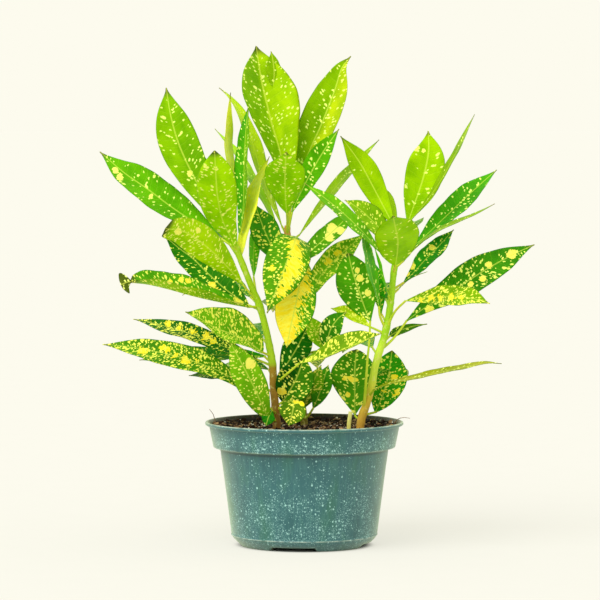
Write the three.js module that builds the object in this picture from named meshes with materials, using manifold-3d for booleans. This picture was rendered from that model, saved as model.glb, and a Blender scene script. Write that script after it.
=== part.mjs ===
// A potted croton with gold-dust leaves: three leafy stems and a cut stub standing in the soil of a
// nursery pot. Millimetres, +Z up, the front looks along -Y. The origin is on the ground under the middle of
// the plant's spread; the shapes are laid out from the pot's axis and moved there at the end.
import * as THREE from "three";
import { mergeVertices } from "three/addons/utils/BufferGeometryUtils.js";
import Module from "manifold-3d";

const wasm = await Module();
wasm.setup();

// ---- driving dimensions ----
const CLEARANCE = 0.3; // between touching pieces
const POT_HEIGHT = 103;
const LIP_RADIUS = 82.5;
const LIP_HEIGHT = 3;
const BAND_TOP_RADIUS = 79.2; // the band under the lip
const BAND_FOOT_RADIUS = 75.8;
const BAND_FOOT_HEIGHT = 82;
const BODY_TOP_RADIUS = 70.3;
const SEAM_RADIUS = 60.5; // where the body meets the foot
const SEAM_HEIGHT = 9;
const FOOT_RADIUS = 53;
const FOOT_INNER_RADIUS = 44;
const FLOOR_UNDERSIDE = 3.6; // the floor stands clear of the ground inside the foot
const FLOOR_TOP = 5.6;
const WALL = 1.7;
const POT_SIDES = 44;
const LIP_INNER_RADIUS = 79.6;
const INSIDE = [ // the pot's inner face from the middle of the floor up, as radius and height
  [0, FLOOR_TOP], [FOOT_RADIUS - 1, FLOOR_TOP], [SEAM_RADIUS - WALL, SEAM_HEIGHT],
  [BODY_TOP_RADIUS - WALL, BAND_FOOT_HEIGHT], [BAND_FOOT_RADIUS - WALL, BAND_FOOT_HEIGHT + 2],
  [BAND_TOP_RADIUS - WALL, POT_HEIGHT - LIP_HEIGHT - 1],
];

const NOTCH_COUNT = 4; // slots in the foot that let the water out
const NOTCH_ANGLE = -100.4; // degrees, the slot at the front
const NOTCH_WIDTH = 41;
const NOTCH_HEIGHT = 3.2;
const NOTCH_START = 41; // how far from the axis a slot starts
const DRAIN_COUNT = 8;
const DRAIN_RADIUS = 4;
const DRAIN_CIRCLE = 37;
const DRAIN_SIDES = 10;

const SOIL_EDGE_HEIGHT = 96.5;
const SOIL_CROWN = 2; // how far the soil rises towards the stems
const SOIL_UNEVEN = 0.7;
const SOIL_SIDES = 20;
const SOIL_RINGS = [1, 0.75, 0.45, 0]; // rings of its top, as shares of its radius

const SPREAD_MIDDLE = [10.9, 13.4]; // the middle of the plant's spread, right of the axis and behind it
const VIEW_DISTANCE = 3000; // the plant is laid out as it stands in a front view taken from here
const VIEW_HEIGHT = 360;

const BLADE_THICKNESS = 0.85;
const BLADE_STEPS = 8;
const ROW_CROWDING = 0.05; // moves the rows across a blade towards its two ends
const BLADE_FOOT_HALF = 0.8; // half the least width of a blade at its foot
const BLADE_TIP_HALF = 0.45;
const MARGIN_WAVES = 2.3; // waves along the edge of a blade
const MARGIN_LIFT = 1.1; // how high they are in a blade 40 mm wide
const STALK_SIDES = 4;
const STALK_STEPS = 2;
const STALK_RADIUS = 1.5;
const STALK_TIP_RADIUS = 1.1;
const STEM_SIDES = 7;
const STEM_STEPS = 12;
const STEM_FOOT = 50; // height of the cut end of a stem, in the soil

// ---- solids ----
function solid(geometry) {
  const bare = geometry.clone();
  bare.deleteAttribute("normal");
  bare.deleteAttribute("uv");
  const merged = mergeVertices(bare, 1e-4);
  return new wasm.Manifold(
    new wasm.Mesh({
      numProp: 3,
      vertProperties: merged.attributes.position.array,
      triVerts: new Uint32Array(merged.index.array),
    }),
  );
}

function geometryOf(body) {
  const mesh = body.getMesh();
  const geometry = new THREE.BufferGeometry();
  geometry.setAttribute("position", new THREE.BufferAttribute(mesh.vertProperties, 3));
  geometry.setIndex(new THREE.BufferAttribute(mesh.triVerts, 1));
  geometry.computeVertexNormals();
  return geometry;
}

function closedSurface(points, triangles) {
  const geometry = new THREE.BufferGeometry();
  geometry.setFromPoints(points);
  geometry.setIndex(triangles);
  return geometry;
}

// ---- curves ----
const UP = new THREE.Vector3(0, 0, 1);
const FORWARD = new THREE.Vector3(0, -1, 0); // towards the viewer
const SIDEWAYS = new THREE.Vector3(1, 0, 0);

// A point given as it is seen from the front: across and up on the plane through the pot's axis, and how
// far it lies behind that plane.
function seen([across, up, behind]) {
  const scale = (VIEW_DISTANCE + behind) / VIEW_DISTANCE;
  return new THREE.Vector3(across * scale, behind, VIEW_HEIGHT + (up - VIEW_HEIGHT) * scale);
}

function curveThrough(points) {
  return new THREE.CatmullRomCurve3(points, false, "catmullrom", 0.5);
}

function tangents(points) {
  const last = points.length - 1;
  return points.map((_, i) =>
    points[Math.min(i + 1, last)].clone().sub(points[Math.max(i - 1, 0)]).normalize(),
  );
}

const across = (vector, along) => vector.clone().addScaledVector(along, -vector.dot(along)).normalize();

// One normal for each point, carried from the point `start` to both ends without twisting.
function carriedNormals(along, start, normal) {
  const normals = [];
  normals[start] = across(normal, along[start]);
  for (let i = start + 1; i < along.length; i++) normals[i] = across(normals[i - 1], along[i]);
  for (let i = start - 1; i >= 0; i--) normals[i] = across(normals[i + 1], along[i]);
  return normals;
}

// A round rod through points, with a radius at each.
function rod(points, radii, sides) {
  const along = tangents(points);
  const normals = carriedNormals(along, 0, Math.abs(along[0].y) < 0.9 ? FORWARD : SIDEWAYS);
  const vertices = [];
  points.forEach((point, i) => {
    const side = new THREE.Vector3().crossVectors(along[i], normals[i]);
    for (let k = 0; k < sides; k++) {
      const angle = (2 * Math.PI * k) / sides;
      const vertex = point.clone().addScaledVector(normals[i], radii[i] * Math.cos(angle));
      vertices.push(vertex.addScaledVector(side, radii[i] * Math.sin(angle)));
    }
  });
  const triangles = [];
  for (let i = 0; i + 1 < points.length; i++) {
    for (let k = 0; k < sides; k++) {
      const a = i * sides + k;
      const b = i * sides + ((k + 1) % sides);
      triangles.push(a, b, b + sides, a, b + sides, a + sides);
    }
  }
  const top = (points.length - 1) * sides;
  for (let k = 1; k + 1 < sides; k++) {
    triangles.push(0, k + 1, k, top, top + k, top + k + 1);
  }
  return solid(closedSurface(vertices, triangles));
}

// ---- a leaf ----
// spine: the midrib, from the foot of the blade to its tip. turn: degrees that the upper face is turned
// about the midrib from facing the viewer, or from facing up where above is set. fold: degrees that each
// half is raised from flat, at the foot and at the tip. peak: how far along the blade it is widest.
// blunt and point: how its outline closes at the foot and at the tip, rounder below 1 and drawn out above 1.
// stalk: points on the way from the stem to the blade.
const LEAF = {
  width: 30, turn: 0, fold: [10, 6], peak: 0.56, blunt: 0.85, point: 1.2, above: false, stalk: [],
};

// How far along a blade its row i is, from 0 at the foot to 1 at the tip.
function rowPlace(i) {
  const t = i / BLADE_STEPS;
  return t - ROW_CROWDING * Math.sin(2 * Math.PI * t);
}

function halfWidth(leaf, t) {
  const shape = Math.max(Math.sin(Math.PI * t ** (Math.log(0.5) / Math.log(leaf.peak))), 0);
  const towardsTip = THREE.MathUtils.smoothstep(t, leaf.peak, 1);
  const power = THREE.MathUtils.lerp(leaf.blunt, leaf.point, towardsTip);
  const least = THREE.MathUtils.lerp(BLADE_FOOT_HALF, BLADE_TIP_HALF, t);
  return Math.max((leaf.width / 2) * shape ** power, least);
}

function blade(leaf, spine, index) {
  const along = tangents(spine);
  const middle = BLADE_STEPS / 2;
  const facing = across(leaf.above ? UP : FORWARD, along[middle]);
  facing.applyAxisAngle(along[middle], THREE.MathUtils.degToRad(leaf.turn));
  const normals = carriedNormals(along, middle, facing);
  const vertices = [];
  for (const face of [-1, 1]) {
    spine.forEach((point, i) => {
      const t = rowPlace(i);
      const normal = normals[i];
      const right = new THREE.Vector3().crossVectors(along[i], normal);
      const fold = THREE.MathUtils.degToRad(THREE.MathUtils.lerp(leaf.fold[0], leaf.fold[1], t));
      const half = halfWidth(leaf, t);
      for (const side of [-1, 0, 1]) {
        const wave = side * Math.sin(2 * Math.PI * (MARGIN_WAVES * t + 0.37 * index) + side);
        const lift = Math.abs(side) * half * Math.sin(fold) + (wave * MARGIN_LIFT * half) / 20;
        const vertex = point.clone().addScaledVector(right, side * half * Math.cos(fold));
        vertices.push(vertex.addScaledVector(normal, lift + (face * BLADE_THICKNESS) / 2));
      }
    });
  }
  return solid(closedSurface(vertices, bladeTriangles()));
}

// The faces of a blade whose vertices are three to a row: the lower face's rows, then the upper face's.
function bladeTriangles() {
  const triangles = [];
  const quad = (a, b, c, d) => triangles.push(a, b, c, a, c, d);
  const upper = 3 * (BLADE_STEPS + 1);
  for (let row = 0; row < 3 * BLADE_STEPS; row += 3) {
    for (const a of [row, row + 1]) {
      quad(upper + a, upper + a + 1, upper + a + 4, upper + a + 3);
      triangles.push(a, a + 4, a + 1, a, a + 3, a + 4);
    }
    quad(row, upper + row, upper + row + 3, row + 3);
    quad(row + 2, row + 5, upper + row + 5, upper + row + 2);
  }
  const end = 3 * BLADE_STEPS;
  for (const a of [0, 1]) {
    quad(a, a + 1, upper + a + 1, upper + a);
    quad(end + a, upper + end + a, upper + end + a + 1, end + a + 1);
  }
  return triangles;
}

// A stem from its cut foot up, with its leaves fused on. at: the height on the stem where a leaf's stalk
// springs; a leaf without it is a lobe of the leaf before it.
function leafyStem({ route, radius, leaves }) {
  const path = curveThrough(route.map(seen));
  const steps = Math.min(STEM_STEPS, 2 * route.length);
  const points = path.getSpacedPoints(steps);
  const radii = points.map((_, i) => THREE.MathUtils.lerp(radius[0], radius[1], i / steps));
  let body = rod(points, radii, STEM_SIDES);
  const fine = path.getSpacedPoints(200);
  leaves.forEach((given, index) => {
    const leaf = { ...LEAF, ...given };
    const midrib = curveThrough(leaf.spine.map(seen));
    const spine = Array.from({ length: BLADE_STEPS + 1 }, (_, row) => midrib.getPointAt(rowPlace(row)));
    body = body.add(blade(leaf, spine, index));
    if (leaf.at) {
      const height = seen([0, leaf.at, 0]).z;
      const root = fine.reduce((a, b) => (Math.abs(b.z - height) < Math.abs(a.z - height) ? b : a));
      const end = spine[0].clone().lerp(spine[1], 0.15);
      const way = curveThrough([root, ...leaf.stalk.map(seen), end]);
      const last = STALK_STEPS + leaf.stalk.length;
      const stalk = way.getSpacedPoints(last);
      const thickness = stalk.map((_, i) => THREE.MathUtils.lerp(STALK_RADIUS, STALK_TIP_RADIUS, i / last));
      body = body.add(rod(stalk, thickness, STALK_SIDES));
    }
  });
  return body;
}

// The hole that a stem stands in, up to just over the soil.
function stemHole({ route, radius }) {
  const points = curveThrough(route.map(seen)).getSpacedPoints(STEM_STEPS);
  const inSoil = points.filter((point) => point.z < SOIL_EDGE_HEIGHT + 20);
  inSoil.unshift(inSoil[0].clone().setZ(inSoil[0].z - CLEARANCE));
  return rod(inSoil, inSoil.map(() => radius[0] + CLEARANCE + 0.15), STEM_SIDES);
}

// ---- the leafy stems ----
// route: the stem's axis from its cut foot in the soil. radius: at the foot and at the top. Every point is
// given as seen() takes it.
const LEFT = {
  route: [
    [-22, STEM_FOOT, -12], [-23, 100, -12], [-25, 125, -12], [-26.5, 150, -12], [-29.5, 168, -13],
    [-33, 184, -13], [-37.5, 200, -13], [-43, 213, -14], [-49, 228, -14], [-55, 243, -14], [-59, 254, -14],
  ],
  radius: [3.6, 2.4],
  leaves: [
    // the crown, from the left round to the right
    { at: 250, width: 34, turn: 12, fold: [14, 6], peak: 0.62, blunt: 0.75,
      spine: [[-64, 260, -8], [-78, 282, -2], [-91.5, 306, 4], [-103.5, 332, 10], [-110.5, 356, 16],
        [-114.4, 380, 24]] },
    { at: 247, width: 34, turn: 40, fold: [14, 10], peak: 0.54, blunt: 0.6,
      spine: [[-72, 257, -4], [-95, 271, 2], [-110, 281, 6], [-130, 296, 12], [-150, 310, 18],
        [-169.5, 327, 26]] },
    { at: 242, width: 33, turn: 180, peak: 0.6, blunt: 0.5, point: 0.85,
      spine: [[-57.5, 248, -18], [-61.5, 257, -22], [-68, 271, -32], [-72, 290, -50], [-73.5, 308, -64],
        [-74.5, 328, -78]] },
    { at: 202, width: 28, turn: 180, fold: [8, 6], peak: 0.6, blunt: 0.65, point: 0.22,
      spine: [[-50.5, 216, -18], [-59, 226, -26], [-71, 239, -45], [-85, 251.5, -66], [-100, 261, -86],
        [-115.5, 263.5, -105]] },
    { at: 232, width: 27, turn: -66, blunt: 0.5,
      spine: [[-52.5, 240, -10], [-50, 254, -6], [-46, 270, -2], [-43, 285, 3], [-39, 300, 8],
        [-29, 323, 16]] },
    { at: 246, width: 28, turn: -66, fold: [14, 10], blunt: 0.6,
      spine: [[-54, 258, -4], [-51, 275, -1], [-50, 300, 2], [-49.5, 325, 5], [-48, 348, 8],
        [-46, 366, 11]] },
    { at: 254, width: 24, turn: 75, fold: [8, 8],
      spine: [[-58, 262, 6], [-59, 290, 13], [-62, 315, 19], [-64, 335, 25], [-63, 355, 30],
        [-61, 376, 35]] },
    // down the outer side
    { at: 196, width: 28, turn: 25, fold: [12, 8], peak: 0.55, blunt: 0.55,
      spine: [[-46.5, 199.5, -9], [-65, 212.5, -4], [-80, 226, 2], [-92, 238, 7], [-104, 247, 11],
        [-116, 257, 15]] },
    { at: 199, width: 36, turn: 78, fold: [38, 36], peak: 0.6, blunt: 0.5, point: 0.45,
      spine: [[-46, 198, -18], [-70, 202.5, -25], [-92, 207.5, -32], [-112, 213, -39], [-130, 217, -45],
        [-145, 218.5, -50]] },
    { width: 17, turn: 20, fold: [0, 0], peak: 0.7, blunt: 0.45, point: 0.6, // its curled tip
      spine: [[-139, 219, -49.5], [-148, 218.5, -51], [-155.5, 218, -52]] },
    { at: 150, width: 24, turn: 58, fold: [8, 8], blunt: 0.6,
      spine: [[-38, 154, -8], [-64, 164, -1], [-85, 172.5, 10], [-105, 179, 20], [-125, 184.5, 30],
        [-142, 188, 38]] },
    { at: 158, width: 40, turn: 44, fold: [34, 30], peak: 0.5, blunt: 0.6,
      spine: [[-34.5, 160, -20], [-48, 170, -29], [-62, 176, -38], [-75, 181, -46], [-88, 189, -53],
        [-99, 194, -58]] },
    { at: 152, width: 24, turn: 62, blunt: 0.55,
      spine: [[-32, 157, 1], [-60, 158, 14], [-90, 158, 24], [-115, 156, 30], [-137, 154, 34]] },
    { at: 128, width: 20, turn: 62, blunt: 0.55,
      spine: [[-34, 131, 6], [-50, 136, 14], [-70, 142, 20], [-96, 141, 26]] },
    { at: 112, width: 30, turn: 50, fold: [6, 6],
      spine: [[-40, 120, -20], [-50, 131, -21], [-63, 140.5, -20], [-80, 148.5, -17], [-102, 156, -11],
        [-126, 161.5, -3], [-150, 165.5, 6], [-167.5, 167, 14]] },
    { at: 104, width: 26, turn: 195, fold: [8, 8], peak: 0.5, blunt: 0.65,
      spine: [[-30, 105, -28], [-35.5, 117, -34], [-42, 131.5, -40], [-49.5, 146, -46], [-56.5, 159, -51],
        [-63, 171, -56]] },
    // across to the right
    { at: 134, width: 28, turn: -60, fold: [30, 30], stalk: [[-15, 142, -20]],
      spine: [[-5, 151, -26], [8, 154, -31], [22, 158.5, -36], [35, 164, -39], [49, 170, -41],
        [64, 176, -42]] },
    { at: 113, width: 22, blunt: 0.6,
      spine: [[-11, 120.5, -22], [-9, 117, -30], [-10.5, 108, -36], [-13, 99, -38]] },
    { at: 110, width: 11,
      spine: [[-27, 112, -24], [-30, 106, -30], [-32, 99, -32]] },
    { at: 136, width: 24, turn: -10, fold: [8, 8],
      spine: [[-21, 141, -6], [-15, 150, -4], [-8, 161, -2], [-2, 172, 0], [4, 184, 2]] },
    { at: 116, width: 32, fold: [15, 15], peak: 0.5, blunt: 0.6,
      spine: [[-18, 119, -10], [-13, 127, -13], [-7, 138, -16], [-3, 148, -18], [0, 158, -19]] },
    // behind
    { at: 206, width: 12, turn: 40,
      spine: [[-42, 222, 8], [-42.5, 238, 20], [-41.5, 255, 28], [-40, 272, 32]] },
    { at: 236, width: 32, turn: 14, above: true,
      spine: [[-62, 250, 4], [-69, 260, 28], [-76, 264, 54], [-84, 262, 80], [-91, 254, 102]] },
    { at: 200, width: 30, turn: -12, above: true,
      spine: [[-44, 206, 4], [-57, 214, 28], [-71, 217, 56], [-87, 215, 84], [-101, 208, 106]] },
    { at: 166, width: 33, turn: 10, above: true,
      spine: [[-34, 171, 4], [-43, 179, 32], [-51, 184, 64], [-58, 184, 96], [-63, 178, 124]] },
    { at: 140, width: 26, turn: -16, above: true,
      spine: [[-29, 146, 4], [-42, 149, 28], [-56, 150, 56], [-71, 147, 84], [-84, 140, 106]] },
    { at: 248, width: 26,
      spine: [[-64, 264, 12], [-69, 284, 34], [-73, 300, 54], [-76, 312, 76], [-78, 320, 98]] },
    { at: 246, width: 24, turn: 10,
      spine: [[-68, 268, 6], [-80, 292, 18], [-91, 316, 30], [-101, 342, 42]] },
  ],
};

const MIDDLE = {
  route: [
    [0, STEM_FOOT, 24], [0, 100, 22], [-4, 125, 21], [-8, 150, 20], [-10.5, 175, 19], [-12, 200, 18],
    [-13, 228, 17], [-14, 255, 16], [-14, 266, 16],
  ],
  radius: [3.4, 2.2],
  leaves: [
    // the crown, from the left round to the right
    { at: 256, width: 24, turn: 62, fold: [8, 8],
      spine: [[-18, 264, 22], [-28, 288, 28], [-37, 313, 34], [-44, 338, 40], [-53, 359, 46],
        [-62, 372, 50], [-70.5, 380, 53]] },
    { at: 252, width: 20, turn: 68,
      spine: [[-20, 258, 26], [-29, 277, 32], [-39, 296, 38], [-48, 312, 44], [-58, 328, 50],
        [-74, 346, 57]] },
    { at: 262, width: 54, turn: 27, fold: [38, 20], peak: 0.66, blunt: 0.75, point: 1.15,
      spine: [[-13.5, 282, 8], [-16, 305, 5], [-20.5, 328, 5], [-27, 350, 7], [-31.5, 368, 9],
        [-36, 388, 12], [-40, 414.5, 18]] },
    { width: 13, turn: 25, fold: [0, 0], peak: 0.5, // its second tip
      spine: [[-26, 380, 11.5], [-25, 392, 13], [-26, 402, 15], [-27.5, 410, 16.5]] },
    { at: 258, width: 33.5, turn: 180, fold: [6, 6], peak: 0.58, blunt: 0.65, stalk: [[-14, 268, 6]],
      spine: [[-14.5, 276, -4], [-15.5, 287, -16], [-16, 299, -31], [-16, 311, -46], [-15.5, 320, -58],
        [-15, 327, -67]] },
    { at: 263, width: 37, turn: -24.5, fold: [24.5, 24.5], peak: 0.57,
      spine: [[-10.5, 286, 20], [-6, 300, 19], [-1, 315, 18], [8, 336, 18], [14, 349, 19], [20, 364, 20],
        [26, 380, 22], [31, 396, 25], [38.6, 406, 28]] },
    { at: 258, width: 20, turn: -20, fold: [14, 10],
      spine: [[-10.5, 276, 9], [-5, 289, 4], [1.5, 302, 0], [8.5, 315, -3], [17, 329, -5],
        [28.8, 346, -8]] },
    { at: 250, width: 17, turn: -62, fold: [8, 8],
      spine: [[-5, 257, 26], [5, 270, 31], [15, 283.5, 37], [26, 297.5, 43], [37.5, 310.5, 48],
        [50, 324.5, 54], [62, 337, 58]] },
    // below the crown
    { at: 234, width: 20, turn: -40, fold: [8, 8], blunt: 0.4,
      spine: [[-6, 236, 12], [5, 244.5, 12], [17, 255, 13], [29, 266, 15], [40, 278, 20]] },
    { at: 192, width: 24, turn: -35, fold: [8, 8],
      spine: [[0, 202, 16], [8, 214, 16], [15, 226, 17], [25, 237, 20], [36, 247, 24], [50, 259, 28]] },
    { at: 248, width: 37, fold: [-12, -12], peak: 0.5, blunt: 0.6,
      spine: [[-9, 253, 6], [-7, 257, -8], [-8.5, 251, -24], [-14, 237, -35], [-20, 221, -41],
        [-25.5, 207, -43], [-31, 193, -42]] },
    { at: 238, width: 33, fold: [-6, -6], peak: 0.6,
      spine: [[-5, 243, 4], [-3, 238, -8], [-3, 224, -19], [-6, 206, -25], [-10.5, 186, -28],
        [-15, 164, -26]] },
    { at: 224, width: 25, turn: 10, fold: [10, 10],
      spine: [[-16, 233, 16], [-24, 244, 15], [-31, 257, 15], [-37, 272, 16], [-41, 284, 18]] },
    // near the soil
    { at: 110, width: 20, turn: 30, fold: [10, 10],
      spine: [[-1, 113, 10], [3, 124, 2], [8, 137, -3], [14, 150, -5]] },
    { at: 106, width: 18, turn: -15, fold: [12, 12], stalk: [[2, 106, 10]],
      spine: [[7, 113, 4], [11, 122, 2], [15, 134, 2], [20, 150, 3]] },
    { at: 150, width: 18, turn: -10, peak: 0.5, stalk: [[6, 156, 4]],
      spine: [[18, 163, -8], [19.5, 172, -12], [22.5, 181, -14], [28, 188.5, -14], [35, 194, -13]] },
    { at: 154, width: 17, turn: 20, stalk: [[4, 160, 6]],
      spine: [[17, 162, -2], [13, 171, -6], [8, 181, -8], [4, 191, -8]] },
    // behind
    { at: 256, width: 24, peak: 0.66,
      spine: [[-13, 270, 24], [-12, 300, 40], [-13, 330, 54], [-20, 358, 66], [-27, 386, 78]] },
    { at: 222, width: 32, turn: 12, above: true,
      spine: [[-13, 230, 24], [-11, 239, 50], [-9, 243, 78], [-7, 241, 104], [-5, 233, 126]] },
    { at: 188, width: 34, turn: -14, above: true,
      spine: [[-11, 195, 24], [-14, 202, 50], [-18, 206, 80], [-22, 203, 108], [-26, 194, 132]] },
    { at: 146, width: 32, turn: 8, above: true,
      spine: [[-7, 153, 26], [-3, 158, 50], [2, 160, 76], [7, 156, 102], [11, 147, 122]] },
    { at: 114, width: 28, turn: -10, above: true,
      spine: [[-1, 121, 28], [-4, 127, 52], [-8, 130, 80], [-12, 127, 108], [-15, 118, 132]] },
  ],
};

const RIGHT = {
  route: [
    [46, STEM_FOOT, -4], [46.5, 98, -4], [52, 118, -4], [56, 133, -4], [58.5, 147, -4], [62, 160, -4],
    [66, 172, -3], [69, 185, -2], [71.5, 200, -2], [73, 215, -1], [75, 232, 0], [79, 245, 0], [83, 260, 0],
  ],
  radius: [3.6, 2.4],
  leaves: [
    // the crown, from the left round to the right
    { at: 240, width: 28, turn: 48, fold: [8, 8], peak: 0.45,
      spine: [[70, 254, 6], [62, 264, 6], [54, 272, 6], [45, 280, 4], [33.5, 287, 2]] },
    { at: 234, width: 20, turn: 55, fold: [8, 8],
      spine: [[67, 240, -6], [56, 252, -14], [45, 264, -23], [30, 278, -29], [15, 290, -29],
        [0, 301, -24]] },
    { at: 254, width: 23, turn: 20, fold: [4, 4],
      spine: [[75, 264, 10], [66, 281, 18], [57, 298, 22], [46, 318, 24], [30, 340, 24]] },
    { at: 226, width: 37, turn: 180, fold: [4, 4], peak: 0.5, blunt: 0.6,
      spine: [[75.5, 233, -8], [77, 243, -22], [77.5, 253, -38], [76, 262, -54], [74.5, 269, -70],
        [73.5, 274, -84]] },
    { at: 258, width: 32, fold: [8, 8], blunt: 0.7,
      spine: [[86.5, 270, 4], [91, 283, 4], [96, 297, 5], [100, 311, 6], [103, 328, 8],
        [102.6, 344.4, 11]] },
    { at: 256, width: 15, turn: -74, fold: [8, 8],
      spine: [[88, 270, -6], [100, 284, -12], [113, 303, -17], [123, 321, -20], [132, 339, -20],
        [141, 358, -18]] },
    { at: 244, width: 25, turn: -46, fold: [12, 12],
      spine: [[88, 247, 8], [97, 254, 10], [115, 271, 14], [135, 290, 20], [159.5, 312, 28]] },
    { at: 230, width: 13, turn: -80,
      spine: [[82, 236, -4], [93, 248, -9], [110, 261, -14], [130, 270, -19], [145, 277, -22],
        [158, 284, -24]] },
    // down the outer side
    { at: 212, width: 22, turn: -50, fold: [8, 8],
      spine: [[82, 218, 8], [92, 228, 10], [101, 238, 12], [111, 248, 14], [124, 262.5, 18]] },
    { at: 208, width: 6, turn: -80,
      spine: [[78, 213, 12], [84, 219, 18], [91, 223.5, 24], [102, 227.5, 30]] },
    { at: 162, width: 33, turn: -38, fold: [6, 6], stalk: [[74, 172, 0]],
      spine: [[84, 186, 2], [98, 196, 5], [115, 207, 9], [133, 218, 14], [152, 230, 19], [172, 241, 24],
        [191, 250, 29]] },
    { at: 180, width: 29, turn: -58, stalk: [[75, 194, -8]],
      spine: [[83, 203, -14], [100, 206, -22], [120, 207, -30], [138, 205.5, -37], [154, 201, -43]] },
    { at: 168, width: 8, turn: -30, peak: 0.3,
      spine: [[71, 174, 10], [78, 178, 16], [90, 182, 22], [102, 184, 27]] },
    { at: 124, width: 16, turn: -78, blunt: 0.5,
      spine: [[57, 129.5, -13], [75, 135.5, -20], [90, 139, -26], [110, 143, -32], [130, 147.5, -37],
        [150, 151.5, -41], [164, 151, -43]] },
    { at: 108, width: 33, turn: -10, fold: [8, 8], blunt: 0.7, point: 0.85,
      spine: [[59, 110, 16], [65, 124, 20], [70, 141, 24], [73, 162, 28]] },
    // down the inner side
    { at: 103, width: 40, turn: -12, fold: [8, 8], peak: 0.6, point: 0.7,
      spine: [[42, 107, 4], [42, 118, 6], [42, 132, 9], [42, 146, 12], [43.5, 163, 16]] },
    { at: 112, width: 34, turn: -8, fold: [10, 10], blunt: 0.75, point: 0.8,
      stalk: [[50.5, 125, -9], [51.5, 140, -10], [52.5, 155, -9], [54, 170, -7]],
      spine: [[55, 186, 0], [50, 198, 3], [45, 213, 5], [40, 228, 7], [36.5, 243, 9]] },
    { at: 180, width: 24, turn: 68, stalk: [[63, 190, -6]],
      spine: [[62, 198, -8], [60, 209, -9], [56, 224, -11], [52, 241, -13], [47.5, 261.5, -14]] },
    { at: 184, width: 14, turn: -20,
      spine: [[64, 192, 8], [63, 205, 14], [60, 221, 18], [57, 237, 22]] },
    { at: 202, width: 10, turn: -75,
      spine: [[70, 207, -8], [66, 222, -11], [62, 238, -14], [58, 248, -16]] },
    { at: 176, width: 13, turn: 30, fold: [25, 25],
      spine: [[56, 181, -3], [46, 187, 1], [36, 193, 4], [22, 197, 5]] },
    // behind
    { at: 240, width: 32, turn: -10, above: true,
      spine: [[79, 250, 10], [82, 261, 34], [84, 267, 62], [85, 265, 92], [84, 257, 118]] },
    { at: 196, width: 34, turn: 12, above: true,
      spine: [[69, 202, 6], [63, 212, 28], [56, 219, 52], [49, 219, 78], [43, 212, 102]] },
    { at: 158, width: 32, turn: -8, above: true,
      spine: [[57, 164, 4], [50, 169, 30], [43, 171, 58], [37, 168, 86], [32, 160, 112]] },
    { at: 136, width: 26, turn: 15, above: true,
      spine: [[59, 141, 6], [66, 147, 28], [72, 148, 54], [77, 143, 80], [80, 134, 102]] },
    { at: 256, width: 22, turn: -10,
      spine: [[85, 268, 12], [91, 290, 28], [96, 310, 44], [100, 328, 58]] },
    { at: 252, width: 18, turn: 20,
      spine: [[77, 264, 16], [70, 277, 28], [63, 291, 40], [57, 303, 50]] },
  ],
};

const STUB = { route: [[37, 70, -20], [37, 98, -20], [38.5, 111, -20]], radius: [1.9, 1.7], leaves: [] };
const STEMS = { stem_left: LEFT, stem_middle: MIDDLE, stem_right: RIGHT, cut_stub: STUB };

// ---- the pot and its soil ----
function turned(profile, sides) {
  const points = profile.map(([radius, height]) => new THREE.Vector2(radius, height));
  return solid(new THREE.LatheGeometry(points, sides).rotateX(Math.PI / 2));
}

function potShell() {
  const lipFoot = POT_HEIGHT - LIP_HEIGHT;
  let shell = turned(
    [
      [0, FLOOR_UNDERSIDE], [FOOT_INNER_RADIUS, FLOOR_UNDERSIDE], [FOOT_INNER_RADIUS, 0], [FOOT_RADIUS, 0],
      [SEAM_RADIUS, SEAM_HEIGHT - 1], [SEAM_RADIUS + 0.6, SEAM_HEIGHT],
      [BODY_TOP_RADIUS, BAND_FOOT_HEIGHT - 1.5], [BAND_FOOT_RADIUS, BAND_FOOT_HEIGHT],
      [BAND_TOP_RADIUS, lipFoot], [LIP_RADIUS, lipFoot + 0.3], [LIP_RADIUS, POT_HEIGHT - 1],
      [LIP_RADIUS - 1, POT_HEIGHT], [LIP_INNER_RADIUS, POT_HEIGHT],
      ...[...INSIDE].reverse(),
    ],
    POT_SIDES,
  );
  for (let i = 0; i < NOTCH_COUNT; i++) {
    const half = NOTCH_WIDTH / 2;
    const corners = [[-half, -1], [half, -1], [half - 3, NOTCH_HEIGHT], [3 - half, NOTCH_HEIGHT]];
    const slot = new THREE.Shape(corners.map(([x, y]) => new THREE.Vector2(x, y)));
    const cutter = new THREE.ExtrudeGeometry(slot, { depth: LIP_RADIUS - NOTCH_START, bevelEnabled: false });
    cutter.rotateX(Math.PI / 2).translate(0, -NOTCH_START, 0);
    cutter.rotateZ(THREE.MathUtils.degToRad(NOTCH_ANGLE + 90 + (360 / NOTCH_COUNT) * i));
    shell = shell.subtract(solid(cutter));
  }
  for (let i = 0; i < DRAIN_COUNT; i++) {
    const angle = (2 * Math.PI * (i + 0.5)) / DRAIN_COUNT;
    const hole = new THREE.CylinderGeometry(DRAIN_RADIUS, DRAIN_RADIUS, 2 * FLOOR_TOP, DRAIN_SIDES);
    hole.rotateX(Math.PI / 2);
    hole.translate(DRAIN_CIRCLE * Math.cos(angle), DRAIN_CIRCLE * Math.sin(angle), FLOOR_TOP);
    shell = shell.subtract(solid(hole));
  }
  return shell;
}

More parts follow.
